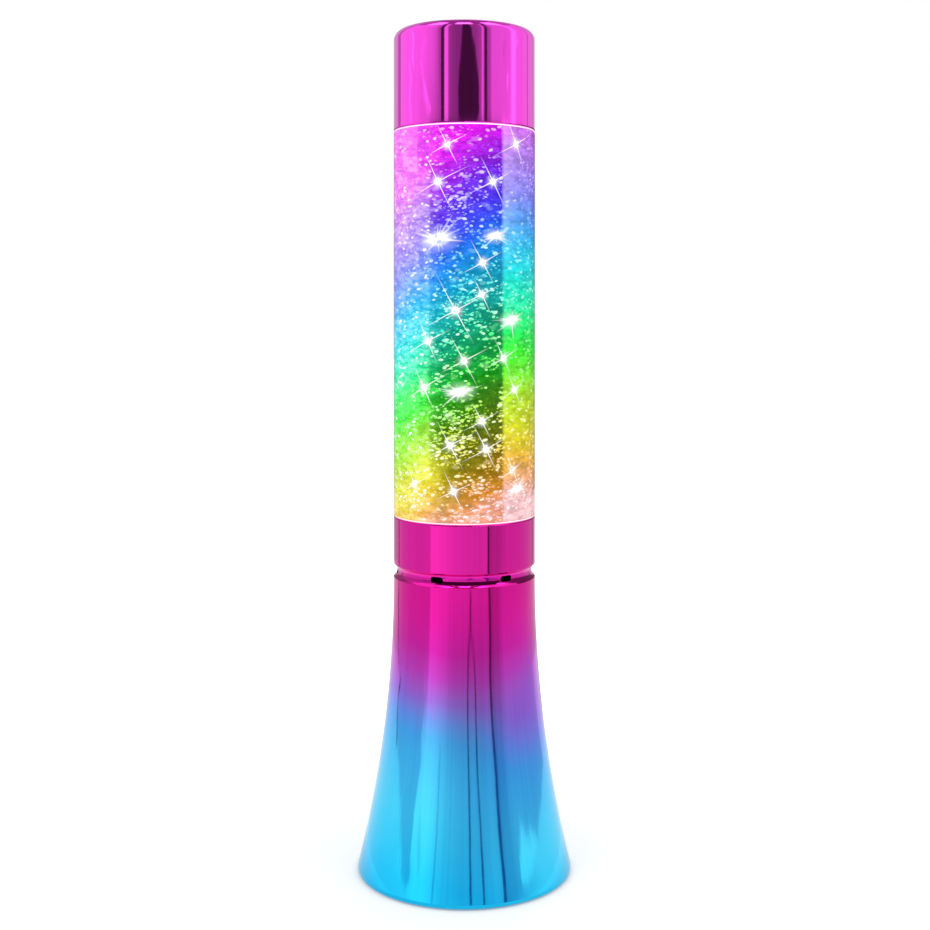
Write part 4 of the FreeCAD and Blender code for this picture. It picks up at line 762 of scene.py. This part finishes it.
class Glints:
    """Star-shaped flashes of light off single flakes, as thin strips that lie on a cylinder in the fluid."""

    def __init__(self, radius):
        self.radius = radius
        self.shape = bmesh.new()
        self.fade = self.shape.verts.layers.float.new("fade")

    def vertex(self, azimuth, z, across, up, fade, depth=0.0):
        """A point of a flash, across and up from its middle, and its share of the flash's light."""
        turn = azimuth + across / self.radius
        made = self.shape.verts.new(on_ring(self.radius - depth, turn, z + up))
        made[self.fade] = fade
        return made

    def ray(self, azimuth, z, angle, length, width, strength, steps):
        """A strip that narrows and fades from the flash's middle to its tip."""
        across, up = math.cos(angle), math.sin(angle)
        rows = []
        for step in range(steps):
            share = step / steps
            half = width / 2 * (1 - 0.7 * share)
            at = length * share
            light = strength * (1 - share ** 1.7)
            rows.append([
                self.vertex(azimuth, z, across * at - up * side, up * at + across * side, light)
                for side in (-half, half)
            ])
        tip = self.vertex(azimuth, z, across * length, up * length, 0.0)
        for near, far in zip(rows, rows[1:]):
            self.shape.faces.new((near[0], far[0], far[1], near[1]))
        self.shape.faces.new((rows[-1][0], tip, rows[-1][1]))

    def halo(self, azimuth, z, wide, high, strength, across=0.0, up=0.0):
        """A soft round of light behind the rays, brightest in its middle."""
        corners = 16
        middle = self.vertex(azimuth, z, across, up, strength, HALO_DEPTH)
        turns = [2 * math.pi * corner / corners for corner in range(corners)]
        ring = [
            self.vertex(
                azimuth, z, across + wide * math.cos(turn), up + high * math.sin(turn), 0.0, HALO_DEPTH)
            for turn in turns
        ]
        for first, second in zip(ring, ring[1:] + ring[:1]):
            self.shape.faces.new((middle, first, second))

    def star(self, azimuth, z, reach, chance):
        """Four long thin rays and a burst of short ones."""
        lean = math.radians(chance.uniform(25, 29))
        for quarter in range(4):
            length = reach * chance.uniform(0.9, 1.1)
            self.ray(azimuth, z, lean + quarter * math.pi / 2, length, width=0.0004, strength=1.0, steps=6)
        burst = 0.0012 + 0.08 * reach
        spikes = 28
        for spike in range(spikes):
            angle = 2 * math.pi * (spike + chance.uniform(-0.35, 0.35)) / spikes
            length = burst * chance.uniform(0.9, 1.8)
            self.ray(azimuth, z, angle, length, width=0.0003, strength=0.9, steps=3)
        self.halo(azimuth, z, 0.75 * burst, 0.75 * burst, strength=2.2)
        self.halo(azimuth, z, 1.7 * burst, 1.7 * burst, strength=0.3)

    def smear(self, azimuth, z, reach, chance):
        """A broad soft cloud of light with thin rays, most of them to the sides."""
        for streak in range(13):
            side = 0 if streak % 2 else 180
            turn = math.radians(side + chance.gauss(12, 26))
            length = reach * chance.uniform(0.45, 1.2)
            strength = chance.uniform(0.45, 0.9)
            self.ray(azimuth, z, turn, length, 0.0004 + 0.05 * reach, strength, steps=4)
        for upright in range(5):
            turn = math.radians(chance.uniform(40, 140) + 180 * (upright % 2))
            length = reach * chance.uniform(0.3, 0.6)
            self.ray(azimuth, z, turn, length, width=0.0007, strength=0.7, steps=3)
        self.halo(azimuth, z, 0.42 * reach, 0.26 * reach, strength=1.4)
        self.halo(azimuth, z, 0.4 * reach, 0.2 * reach, strength=0.6, across=-0.25 * reach, up=-0.07 * reach)
        self.halo(azimuth, z, 0.34 * reach, 0.2 * reach, strength=0.6, across=0.24 * reach, up=0.08 * reach)
        self.halo(azimuth, z, 0.8 * reach, 0.5 * reach, strength=0.4)

    def done(self):
        mesh = bpy.data.meshes.new("glints")
        self.shape.to_mesh(mesh)
        self.shape.free()
        return piece("glints", mesh, [glint_light()], "bottle")


# The flashes seen from the front: millimetres from the axis, height above the table, and reach
FRONT_STARS = [
    (-7.0, 304, 10), (21.3, 305, 14), (-10.8, 289, 15), (11.7, 289, 12), (7.5, 256, 11), (-3.6, 236.5, 17),
    (7.1, 243, 9), (-15.0, 224, 12), (-0.2, 216, 12), (16.0, 217, 10), (-16.7, 205, 13), (7.1, 191.5, 9),
    (-5.9, 181.7, 12), (8.8, 180, 12), (-4.4, 163, 10), (19.8, 171, 9), (-20.6, 165, 9), (20.6, 204, 8),
]
FRONT_SMEARS = [(-10.8, 265.5, 13), (12.6, 267, 8), (19.4, 232.5, 9), (-1.9, 203.5, 9.5), (21.8, 163, 8)]


def glints():
    """The flashes of the front in their places, and round the back as many more by chance."""
    chance = random.Random(11)
    radius = BORE - GLINT_DEPTH
    made = Glints(radius)
    for offset, z, reach in FRONT_STARS:
        made.star(seen_azimuth(offset * MM, radius), z * MM, reach * MM, chance)
    for offset, z, reach in FRONT_SMEARS:
        made.smear(seen_azimuth(offset * MM, radius), z * MM, reach * MM, chance)
    behind = 44
    for number in range(behind):
        azimuth = math.radians(105 + 150 * (number + chance.uniform(0, 1)) / behind)
        z = chance.uniform(162, 304) * MM
        reach = chance.uniform(8, 15) * MM
        if number % 5 == 0:
            made.smear(azimuth, z, 0.6 * reach, chance)
        else:
            made.star(azimuth, z, reach, chance)
    return made.done()


# The studio: floor, soft lamps, and panels that only reflections see. Radii are in metres. Heights are in
# millimetres: those of the bands of panels, and where the floor's dusk on them starts to fade and ends
PANEL_RADIUS = 0.25
CEILING_RADIUS = 0.12
CARD_GAP = 0.003
PANEL_MOST = 4.0
PANEL_FOOT, FLARE_TOP, COLLAR_TOP, TUBE_PANEL_TOP, CAP_PANEL_TOP, CEILING = -20, 88, 130, 342, 640, 660
DUSK_TOP, DUSK_END = 38, 62


def dimmed(shade):
    """A panel's colour as a share of the strongest panel's."""
    return tuple(share / PANEL_MOST for share in shade[:3]) + (1.0,)


def dusk(level):
    """The colour of a panel at a level: a dim one is bluer than a bright one."""
    return (level ** 1.2, level, level ** 0.58, 1.0)


def panel_light(name, tiers, streaky=0.2):
    """Light that changes round the axis as each tier's stops say, in degrees and strengths, with fine upright
    streaks. A tier is the height at which it is reached, its shade and its stops, from the foot up."""
    finish = Finish(name)
    around = finish.around()
    _, _, z = finish.parts(finish.place)
    light = None
    reached = 0
    for height, shade, stops in tiers:
        above = finish.ramp(around, -180, 180, [(at, dimmed(shade(level))) for at, level in stops])
        light = finish.mix(finish.ease(z, reached * MM, height * MM), light, above) if light else above
        reached = height
    streaks = finish.noise(finish.stretched(1, 1, 0.03), 110, 3)
    streaked = finish.mix(1.0, light, finish.mix(streaks, grey(1 - streaky), grey(1 + streaky)), "MULTIPLY")
    material = finish.done(finish.node("ShaderNodeEmission", {}, {"Color": streaked, "Strength": PANEL_MOST}))
    material.cycles.emission_sampling = "NONE"
    return material


def only_reflected(made):
    """Stage that shows in reflections alone."""
    made.visible_camera = False
    made.visible_diffuse = False
    made.visible_transmission = False
    made.visible_volume_scatter = False
    made.visible_shadow = False


def surround(name, outline, *tiers, streaky=0.2):
    """A band of studio panels all round the lamp, on an outline of radii and heights."""
    mesh = turned(name, [(0, [(radius, height * MM) for radius, height in outline])], PANEL_STEPS)
    only_reflected(piece(name, mesh, [panel_light(name, tiers, streaky)]))


def edge_at(points, height):
    """The azimuth of a card's edge at a height."""
    for (low, start), (high, end) in zip(points, points[1:]):
        if height <= high:
            return start + (end - start) * (height - low) / (high - low)
    return points[-1][1]


def card(name, level, left, right, layer=1, waver=0.0, steps=32, shade=grey):
    """A card in front of the panels between two edges, each of heights and azimuths from its foot up."""
    chance = random.Random(name)
    shape = bmesh.new()
    radius = PANEL_RADIUS - CARD_GAP * layer
    foot, head = left[0][0], left[-1][0]
    rows = []
    for step in range(steps + 1):
        height = foot + (head - foot) * step / steps
        start, end = [
            math.radians(edge_at(edge, height) + chance.uniform(-waver, waver))
            for edge in (left, right)
        ]
        rows.append([
            shape.verts.new(on_ring(radius, turn, height * MM))
            for turn in (start, (start + end) / 2, end)
        ])
    for lower, upper in zip(rows, rows[1:]):
        for side in (0, 1):
            shape.faces.new((lower[side], lower[side + 1], upper[side + 1], upper[side]))
    mesh = bpy.data.meshes.new(name)
    shape.to_mesh(mesh)
    shape.free()
    even = [(-180, level), (180, level)]
    tiers = [(DUSK_TOP, shade, even), (DUSK_END, grey, even)]
    only_reflected(piece(name, mesh, [panel_light(name, tiers)]))


def line(name, level, middle, width, layer=2, waver=0.15, shade=grey):
    """A thin card on a line of heights and azimuths."""
    left = [(height, azimuth - width / 2) for height, azimuth in middle]
    right = [(height, azimuth + width / 2) for height, azimuth in middle]
    card(name, level, left, right, layer, waver, shade=shade)


# What each band of panels shows round the lamp: degrees from the front, positive to the right, and strength
FLARE_FOOT = [
    (-180, 0.85), (-150, 0.92), (-110, 0.98), (-80, 1.0), (-52, 1.25), (-38, 1.25), (-30, 1.0), (-18, 0.82),
    (-8, 0.74), (10, 0.68), (24, 0.68), (35, 0.72), (40, 0.46), (50, 0.5), (57, 0.6), (100, 0.6), (124, 0.64),
    (127, 0.92), (160, 0.9), (180, 0.85),
]
FLARE_LOW = [
    (-180, 0.8), (-150, 0.9), (-110, 0.95), (-80, 0.95), (-52, 1.2), (-38, 1.18), (-30, 0.92), (-18, 0.73),
    (-8, 0.65), (10, 0.59), (24, 0.54), (35, 0.6), (40, 0.36), (50, 0.44), (57, 0.6), (100, 0.66),
    (124, 0.68), (127, 0.9), (160, 0.9), (180, 0.8),
]
FLARE_VIOLET = [
    (-180, 0.75), (-126, 0.72), (-54, 0.74), (-52, 1.08), (-38, 1.0), (-28, 0.78), (-14, 0.6), (5, 0.55),
    (26, 0.51), (35, 0.57), (39, 0.42), (52, 0.5), (60, 0.72), (90, 0.75), (120, 0.72), (140, 0.64),
    (180, 0.75),
]
FLARE_HIGH = [
    (-180, 0.75), (-126, 0.68), (-54, 0.7), (-52, 1.02), (-38, 1.0), (-28, 0.9), (-14, 0.78), (5, 0.74),
    (26, 0.66), (35, 0.7), (39, 0.45), (52, 0.5), (60, 0.68), (90, 0.7), (120, 0.66), (140, 0.6), (180, 0.75),
]
COLLAR_STOPS = [
    (-180, 0.65), (-150, 0.5), (-135, 0.6), (-126, 0.69), (-54, 0.72), (-52, 1.08), (-38, 1.06), (-28, 0.93),
    (-10, 0.81), (10, 0.75), (22, 0.69), (35, 0.74), (39, 0.46), (52, 0.49), (70, 0.66), (110, 0.66),
    (140, 0.55), (180, 0.65),
]
TUBE_LOW = [
    (-180, 0.2), (-125, 0.3), (-112, 0.5), (-74, 0.5), (-72, 0.4), (-54, 0.4), (-52.5, 0.05), (58.5, 0.05),
    (59.5, 0.4), (76, 0.25), (90, 0.15), (125, 0.15), (150, 0.15), (180, 0.2),
]
TUBE_HIGH = [
    (-180, 0.3), (-130, 0.4), (-112, 0.6), (-110, 0.9), (-74, 1.0), (-72, 0.9), (-54, 0.8), (-52.5, 0.05),
    (58.5, 0.05), (59.5, 2.8), (76, 1.6), (87, 0.7), (95, 0.3), (125, 0.1), (150, 0.1), (180, 0.3),
]
CAP_HIGH = [
    (-180, 0.8), (-150, 0.65), (-118, 1.02), (-100, 1.08), (-92, 1.18), (-84, 1.08), (-60, 1.02), (-50, 0.9),
    (-44, 0.76), (-39, 0.5), (-31, 0.3), (-30.5, 1.12), (-25, 1.08), (-23.5, 0.36), (-16, 0.28), (-10, 0.24),
    (16, 0.3), (25, 0.42), (34, 0.42), (40, 0.55), (42, 0.86), (60, 0.9), (75, 0.94), (79, 1.9), (84, 1.9),
    (88, 1.04), (114, 0.97), (122, 0.95), (142, 0.62), (165, 0.9), (180, 0.8),
]
CAP_LOW = [(at, level * (0.82 if -70 < at < -40 else 1.0)) for at, level in CAP_HIGH]
CEILING_STOPS = [
    (-180, 0.5), (-90, 0.5), (-75, 3.4), (-46, 3.4), (-42, 0.3), (-19, 0.3), (-17, 3.8), (15, 3.8), (18, 0.3),
    (43, 0.3), (46, 3.4), (76, 3.4), (90, 0.5), (180, 0.5),
]
FLOOR_SHEEN = [
    (-180, 0.94), (-104, 0.98), (-85, 1.0), (-60, 1.05), (-46, 1.0), (-42, 0.6), (-36, 0.35), (-33, 0.85),
    (-12, 0.78), (5, 0.7), (8, 0.28), (13, 0.28), (16, 0.75), (33, 0.85), (36, 0.22), (43, 0.28), (46, 0.6),
    (64, 0.75), (80, 0.95), (104, 0.98), (180, 0.94),
]
PLAIN_FLOOR = [(-180, 0.95), (180, 0.95)]
PLAIN_CEILING = [(-180, 0.3), (180, 0.3)]

# The strength of a dark line, and of one that the flare mirrors
DARK = 0.05
DARK_ON_FLARE = 0.085


def flare_cards():
    """What the flare mirrors before its panels: dull sides, a forked dark line, a broad one and thin ones."""
    card(
        "dull_side", 0.7,
        left=[
            (5.4, -60), (5.9, -66), (8.9, -67.6), (11.6, -70), (14.8, -78), (19.5, -87.5), (23.5, -98),
            (25, -102), (31, -107), (37, -111), (45, -107), (48, -116), (53, -122), (62, -125),
        ],
        right=[
            (5.4, -59.5), (9, -56), (12.4, -54.6), (15.5, -57.5), (20, -59), (25.5, -61), (29.5, -58),
            (39, -55.5), (44, -58.5), (48, -57), (53, -56), (57, -60), (62, -58.5),
        ],
        waver=0.4, steps=64, shade=dusk)
    card(
        "upper_dull_side", 0.69,
        left=[(58, -124), (70, -127), (FLARE_TOP, -126)],
        right=[(58, -60.5), (68, -56.5), (74, -53), (FLARE_TOP, -52.5)],
        layer=2, waver=0.3)
    for name, level, foot, start, end in (
        ("left_side", 0.74, 48, -175, -124),
        ("right_side", 0.68, 45, 124, 175),
    ):
        card(name, level, [(foot, start), (FLARE_TOP, start)], [(foot, end), (FLARE_TOP, end)])
    line(
        "left_line", 0.16,
        [
            (24, -101.5), (31, -107), (37, -111), (45, -107), (48, -116), (53, -122), (70, -127),
            (FLARE_TOP, -126),
        ],
        width=2.4, layer=3)
    line(
        "left_branch", DARK_ON_FLARE,
        [(12, 6), (35, 5.5), (51, 4.4), (59, 4.1), (70, 5.4), (73, 8.4), (85, 8.8)],
        width=1.7, shade=dusk)
    line(
        "right_branch", DARK_ON_FLARE,
        [(12, 18.5), (26, 18.3), (34, 17.6), (46, 15.6), (61, 15.4), (66, 14.6), (70, 11.8), (73, 9.0)],
        width=1.7, shade=dusk)
    line(
        "broad_line", DARK_ON_FLARE,
        [(8, 38.6), (31, 38.2), (40, 39), (53, 37.3), (62, 36.8), (70, 38.3), (FLARE_TOP, 37.8)],
        width=2.8, waver=0.3, shade=dusk)
    line("faint_line", 0.6, [(12, -30.2), (31, -30.2), (47, -31.3)], width=1.5, shade=dusk)
    card(
        "faint_streak", 0.98,
        left=[(16.7, -47), (20, -50.6), (24, -52.2), (29.5, -52.6)],
        right=[(16.7, -45.4), (22, -46.3), (25.7, -48), (29.5, -51.8)],
        layer=2, waver=0.4, shade=dusk)
    card(
        "bright_patch", 1.08,
        left=[(-4, 84), (1, 71), (7, 58), (12, 58.5), (15, 61), (18, 63.5), (19.4, 66)],
        right=[(-4, 88), (1, 88), (5, 86), (8.5, 82), (12, 78), (13.5, 71.5), (19.4, 66.4)],
        waver=0.7, steps=48, shade=dusk)
    line(
        "back_line", 0.3, [(PANEL_FOOT, -172), (30, -170), (FLARE_TOP, -168)],
        width=6, waver=0.4, shade=dusk)
    line(
        "second_back_line", 0.36, [(PANEL_FOOT, 158), (30, 161), (FLARE_TOP, 164)],
        width=9, waver=0.5, shade=dusk)


# Upright lines in the collar's and the cap's reflections: name, azimuth, width and level
COLLAR_LINES = [
    ("collar_left_line", -126, 3.5, 0.16),
    ("collar_broad_line", 36.6, 3.0, DARK),
    ("collar_right_line", 139, 5, 0.3),
    ("collar_back_line", 172, 3, 0.1),
]
CAP_LINES = [
    ("cap_left_line", -125.2, 11.5, 0.5),
    ("cap_dark_line", -33.1, 4.9, DARK),
    ("cap_bright_line", 27.4, 3.2, 0.95),
    ("cap_right_dark_line", 32.1, 4.4, DARK),
    ("cap_thin_line", 118.2, 3.6, 0.55),
    ("cap_back_line", -169, 7, DARK),
    ("cap_back_glow", 172, 9, 1.2),
]

# Wavy streaks in the cap's reflection: level, width, and their lines of heights and azimuths from the foot up
CAP_STREAKS = [
    (1.9, 2.4, [(375, -84), (381, -87.4), (389, -84.2), (397, -88)]),
    (1.7, 2.0, [(370, -65.7), (377, -70.5)]),
    (1.9, 1.8, [(348, -52), (352, -55.6), (359.5, -61), (367, -66)]),
    (1.6, 1.6, [(346.5, -56.5), (353, -60), (359, -64)]),
    (1.5, 2.0, [(381, -68.6), (389, -61)]),
    (1.7, 3.0, [(344, -90), (356, -95), (368, -90), (376.5, -94.6)]),
    (1.9, 2.6, [(368, 77.5), (376, 82.8), (383, 79.6), (390, 90.8)]),
    (1.7, 1.8, [(362, 69), (370, 69.8)]),
    (0.6, 1.4, [(379, 62), (387, 63)]),
]


def upright_lines(lines, low, high):
    for name, azimuth, width, level in lines:
        line(name, level, [(low, azimuth), (high, azimuth)], width)


def cap_cards():
    """What the cap mirrors before its panels: upright lines, a dark tapering middle and wavy streaks."""
    upright_lines(CAP_LINES, TUBE_PANEL_TOP, CAP_PANEL_TOP)
    card(
        "cap_dark_middle", DARK,
        left=[(TUBE_PANEL_TOP, -5), (345, -9), (366, -8.7), (383, -5), (393, -3), (CAP_PANEL_TOP, -3)],
        right=[(TUBE_PANEL_TOP, 18), (345, 22), (366, 21.5), (383, 16), (393, 10), (CAP_PANEL_TOP, 8.5)],
        layer=2, waver=0.5, steps=120)
    for number, (level, width, middle) in enumerate(CAP_STREAKS):
        line("cap_streak_%d" % (number + 1), level, middle, width, layer=3, waver=0.5)


def upright(low, high):
    """The outline of a band of panels between two heights."""
    return [(PANEL_RADIUS, low), (PANEL_RADIUS, high)]


def panels():
    """What reflections see: a sheen on the floor, bands of panels from the foot up, a ceiling and cards."""
    surround(
        "floor_sheen", [(0.09, 0.5), (0.245, 4)],
        (0.5, dusk, PLAIN_FLOOR), (2.2, dusk, FLOOR_SHEEN), streaky=0.0)
    surround(
        "flare_panels", upright(PANEL_FOOT, FLARE_TOP),
        (12, dusk, FLARE_FOOT), (DUSK_TOP, dusk, FLARE_LOW),
        (DUSK_END, grey, FLARE_VIOLET), (82, grey, FLARE_HIGH))
    surround("collar_panels", upright(FLARE_TOP, COLLAR_TOP), (0, grey, COLLAR_STOPS))
    surround(
        "tube_panels", upright(COLLAR_TOP, TUBE_PANEL_TOP),
        (256, grey, TUBE_LOW), (285, grey, TUBE_HIGH))
    surround(
        "cap_panels", upright(TUBE_PANEL_TOP, CAP_PANEL_TOP),
        (340, grey, CAP_LOW), (390, grey, CAP_HIGH))
    surround(
        "ceiling_ring", [(PANEL_RADIUS, CAP_PANEL_TOP), (CEILING_RADIUS, CEILING)],
        (0, grey, CEILING_STOPS))
    surround("ceiling", [(CEILING_RADIUS, CEILING), (0, CEILING)], (0, grey, PLAIN_CEILING))
    flare_cards()
    upright_lines(COLLAR_LINES, FLARE_TOP, COLLAR_TOP)
    cap_cards()


def floor():
    """A pale floor. To the camera and to reflections it is lifted to white, less so near the lamp's foot,
    where its shadow stays."""
    finish = Finish("studio_floor")
    tone = finish.noise(finish.place, 3, 2)
    diffuse = finish.node("ShaderNodeBsdfDiffuse", {}, {"Color": finish.mix(tone, grey(0.79), grey(0.81))})
    seen = finish.node("ShaderNodeLightPath", output="Is Camera Ray")
    mirrored = finish.node("ShaderNodeLightPath", output="Is Glossy Ray")
    passed = finish.node("ShaderNodeLightPath", output="Is Transmission Ray")
    away = finish.node("ShaderNodeVectorMath", {"operation": "LENGTH"}, {0: finish.place}, "Value")
    white = 0.22 + 0.17 * finish.ease(away, 0.044, 0.048) + 0.6 * finish.ease(away, 0.05, 0.3)
    glare = 0.2 + 0.17 * finish.ease(away, 0.046, 0.09) + 0.6 * finish.ease(away, 0.15, 0.7)
    shown = white * (seen + passed) + glare * mirrored
    glow = finish.node("ShaderNodeEmission", {}, {"Color": grey(1.0), "Strength": shown})
    material = finish.done(finish.node("ShaderNodeAddShader", {}, {0: diffuse, 1: glow}))
    half = 6.0
    corners = [(-half, -half, 0), (half, -half, 0), (half, half, 0), (-half, half, 0)]
    mesh = bpy.data.meshes.new("floor")
    mesh.from_pydata(corners, [], [(0, 1, 2, 3)])
    piece("floor", mesh, [material])


def world():
    """White where it is looked at or mirrored, and a softer light on the object."""
    made = bpy.data.worlds.new("studio")
    made.use_nodes = True
    tree = Tree(made.node_tree)
    lit = tree.node("ShaderNodeLightPath", output="Is Diffuse Ray")
    sky = tree.node("ShaderNodeBackground", {}, {"Color": grey(1.0), "Strength": 1 - 0.35 * lit})
    tree.node("ShaderNodeOutputWorld", {}, {"Surface": sky})
    bpy.context.scene.world = made


def lamp(name, place, side, power):
    """A soft square lamp that faces the middle of the object and shows in no reflection."""
    data = bpy.data.lights.new(name, "AREA")
    data.size = side
    data.energy = power
    made = bpy.data.objects.new(name, data)
    bpy.context.scene.collection.objects.link(made)
    made.location = place
    middle = (cad_box[0] + cad_box[1]) / 2
    made.rotation_euler = (middle - made.location).to_track_quat("-Z", "Y").to_euler()
    made.visible_glossy = False


def camera():
    """A level camera at the eye's place, shifted so that the whole lamp is in the picture."""
    data = bpy.data.cameras.new("camera")
    data.sensor_width = SENSOR
    data.lens = FOCAL_PIXELS / PICTURE_SIDE * SENSOR
    data.shift_y = (EYE_ROW - PICTURE_SIDE / 2) / PICTURE_SIDE
    data.clip_start = 0.01
    made = bpy.data.objects.new("camera", data)
    bpy.context.scene.collection.objects.link(made)
    made.location = EYE
    made.rotation_euler = (math.pi / 2, 0, 0)
    bpy.context.scene.camera = made


dress_nodes()
rainbow_fluid = lit_fluid()
bottle(rainbow_fluid)
fluid(rainbow_fluid)
flakes(
    "bright_flakes", flake_foil("bright_foil", 1.0),
    density=50000, lower_gain=1.5, width=0.0016, spread=0.8, tint=(0.1, 0.85), seed=3)
flakes(
    "fine_flakes", flake_foil("fine_foil", 0.8),
    density=140000, lower_gain=1.1, width=0.001, spread=0.8, tint=(0.0, 0.3), seed=7)
flakes(
    "hazy_flakes", flake_foil("hazy_foil", 0.28),
    density=14000, lower_gain=0.3, width=0.003, spread=0.6, tint=(0.15, 0.6), seed=13)
glints()
panels()
floor()
world()
lamp("left_softbox", (-0.7, -0.7, 0.9), side=0.7, power=3.0)
lamp("right_softbox", (0.8, -0.5, 0.8), side=0.7, power=2.4)
lamp("back_softbox", (0.1, 0.9, 0.9), side=0.7, power=2.0)
camera()
bpy.context.scene.view_settings.view_transform = "Standard"
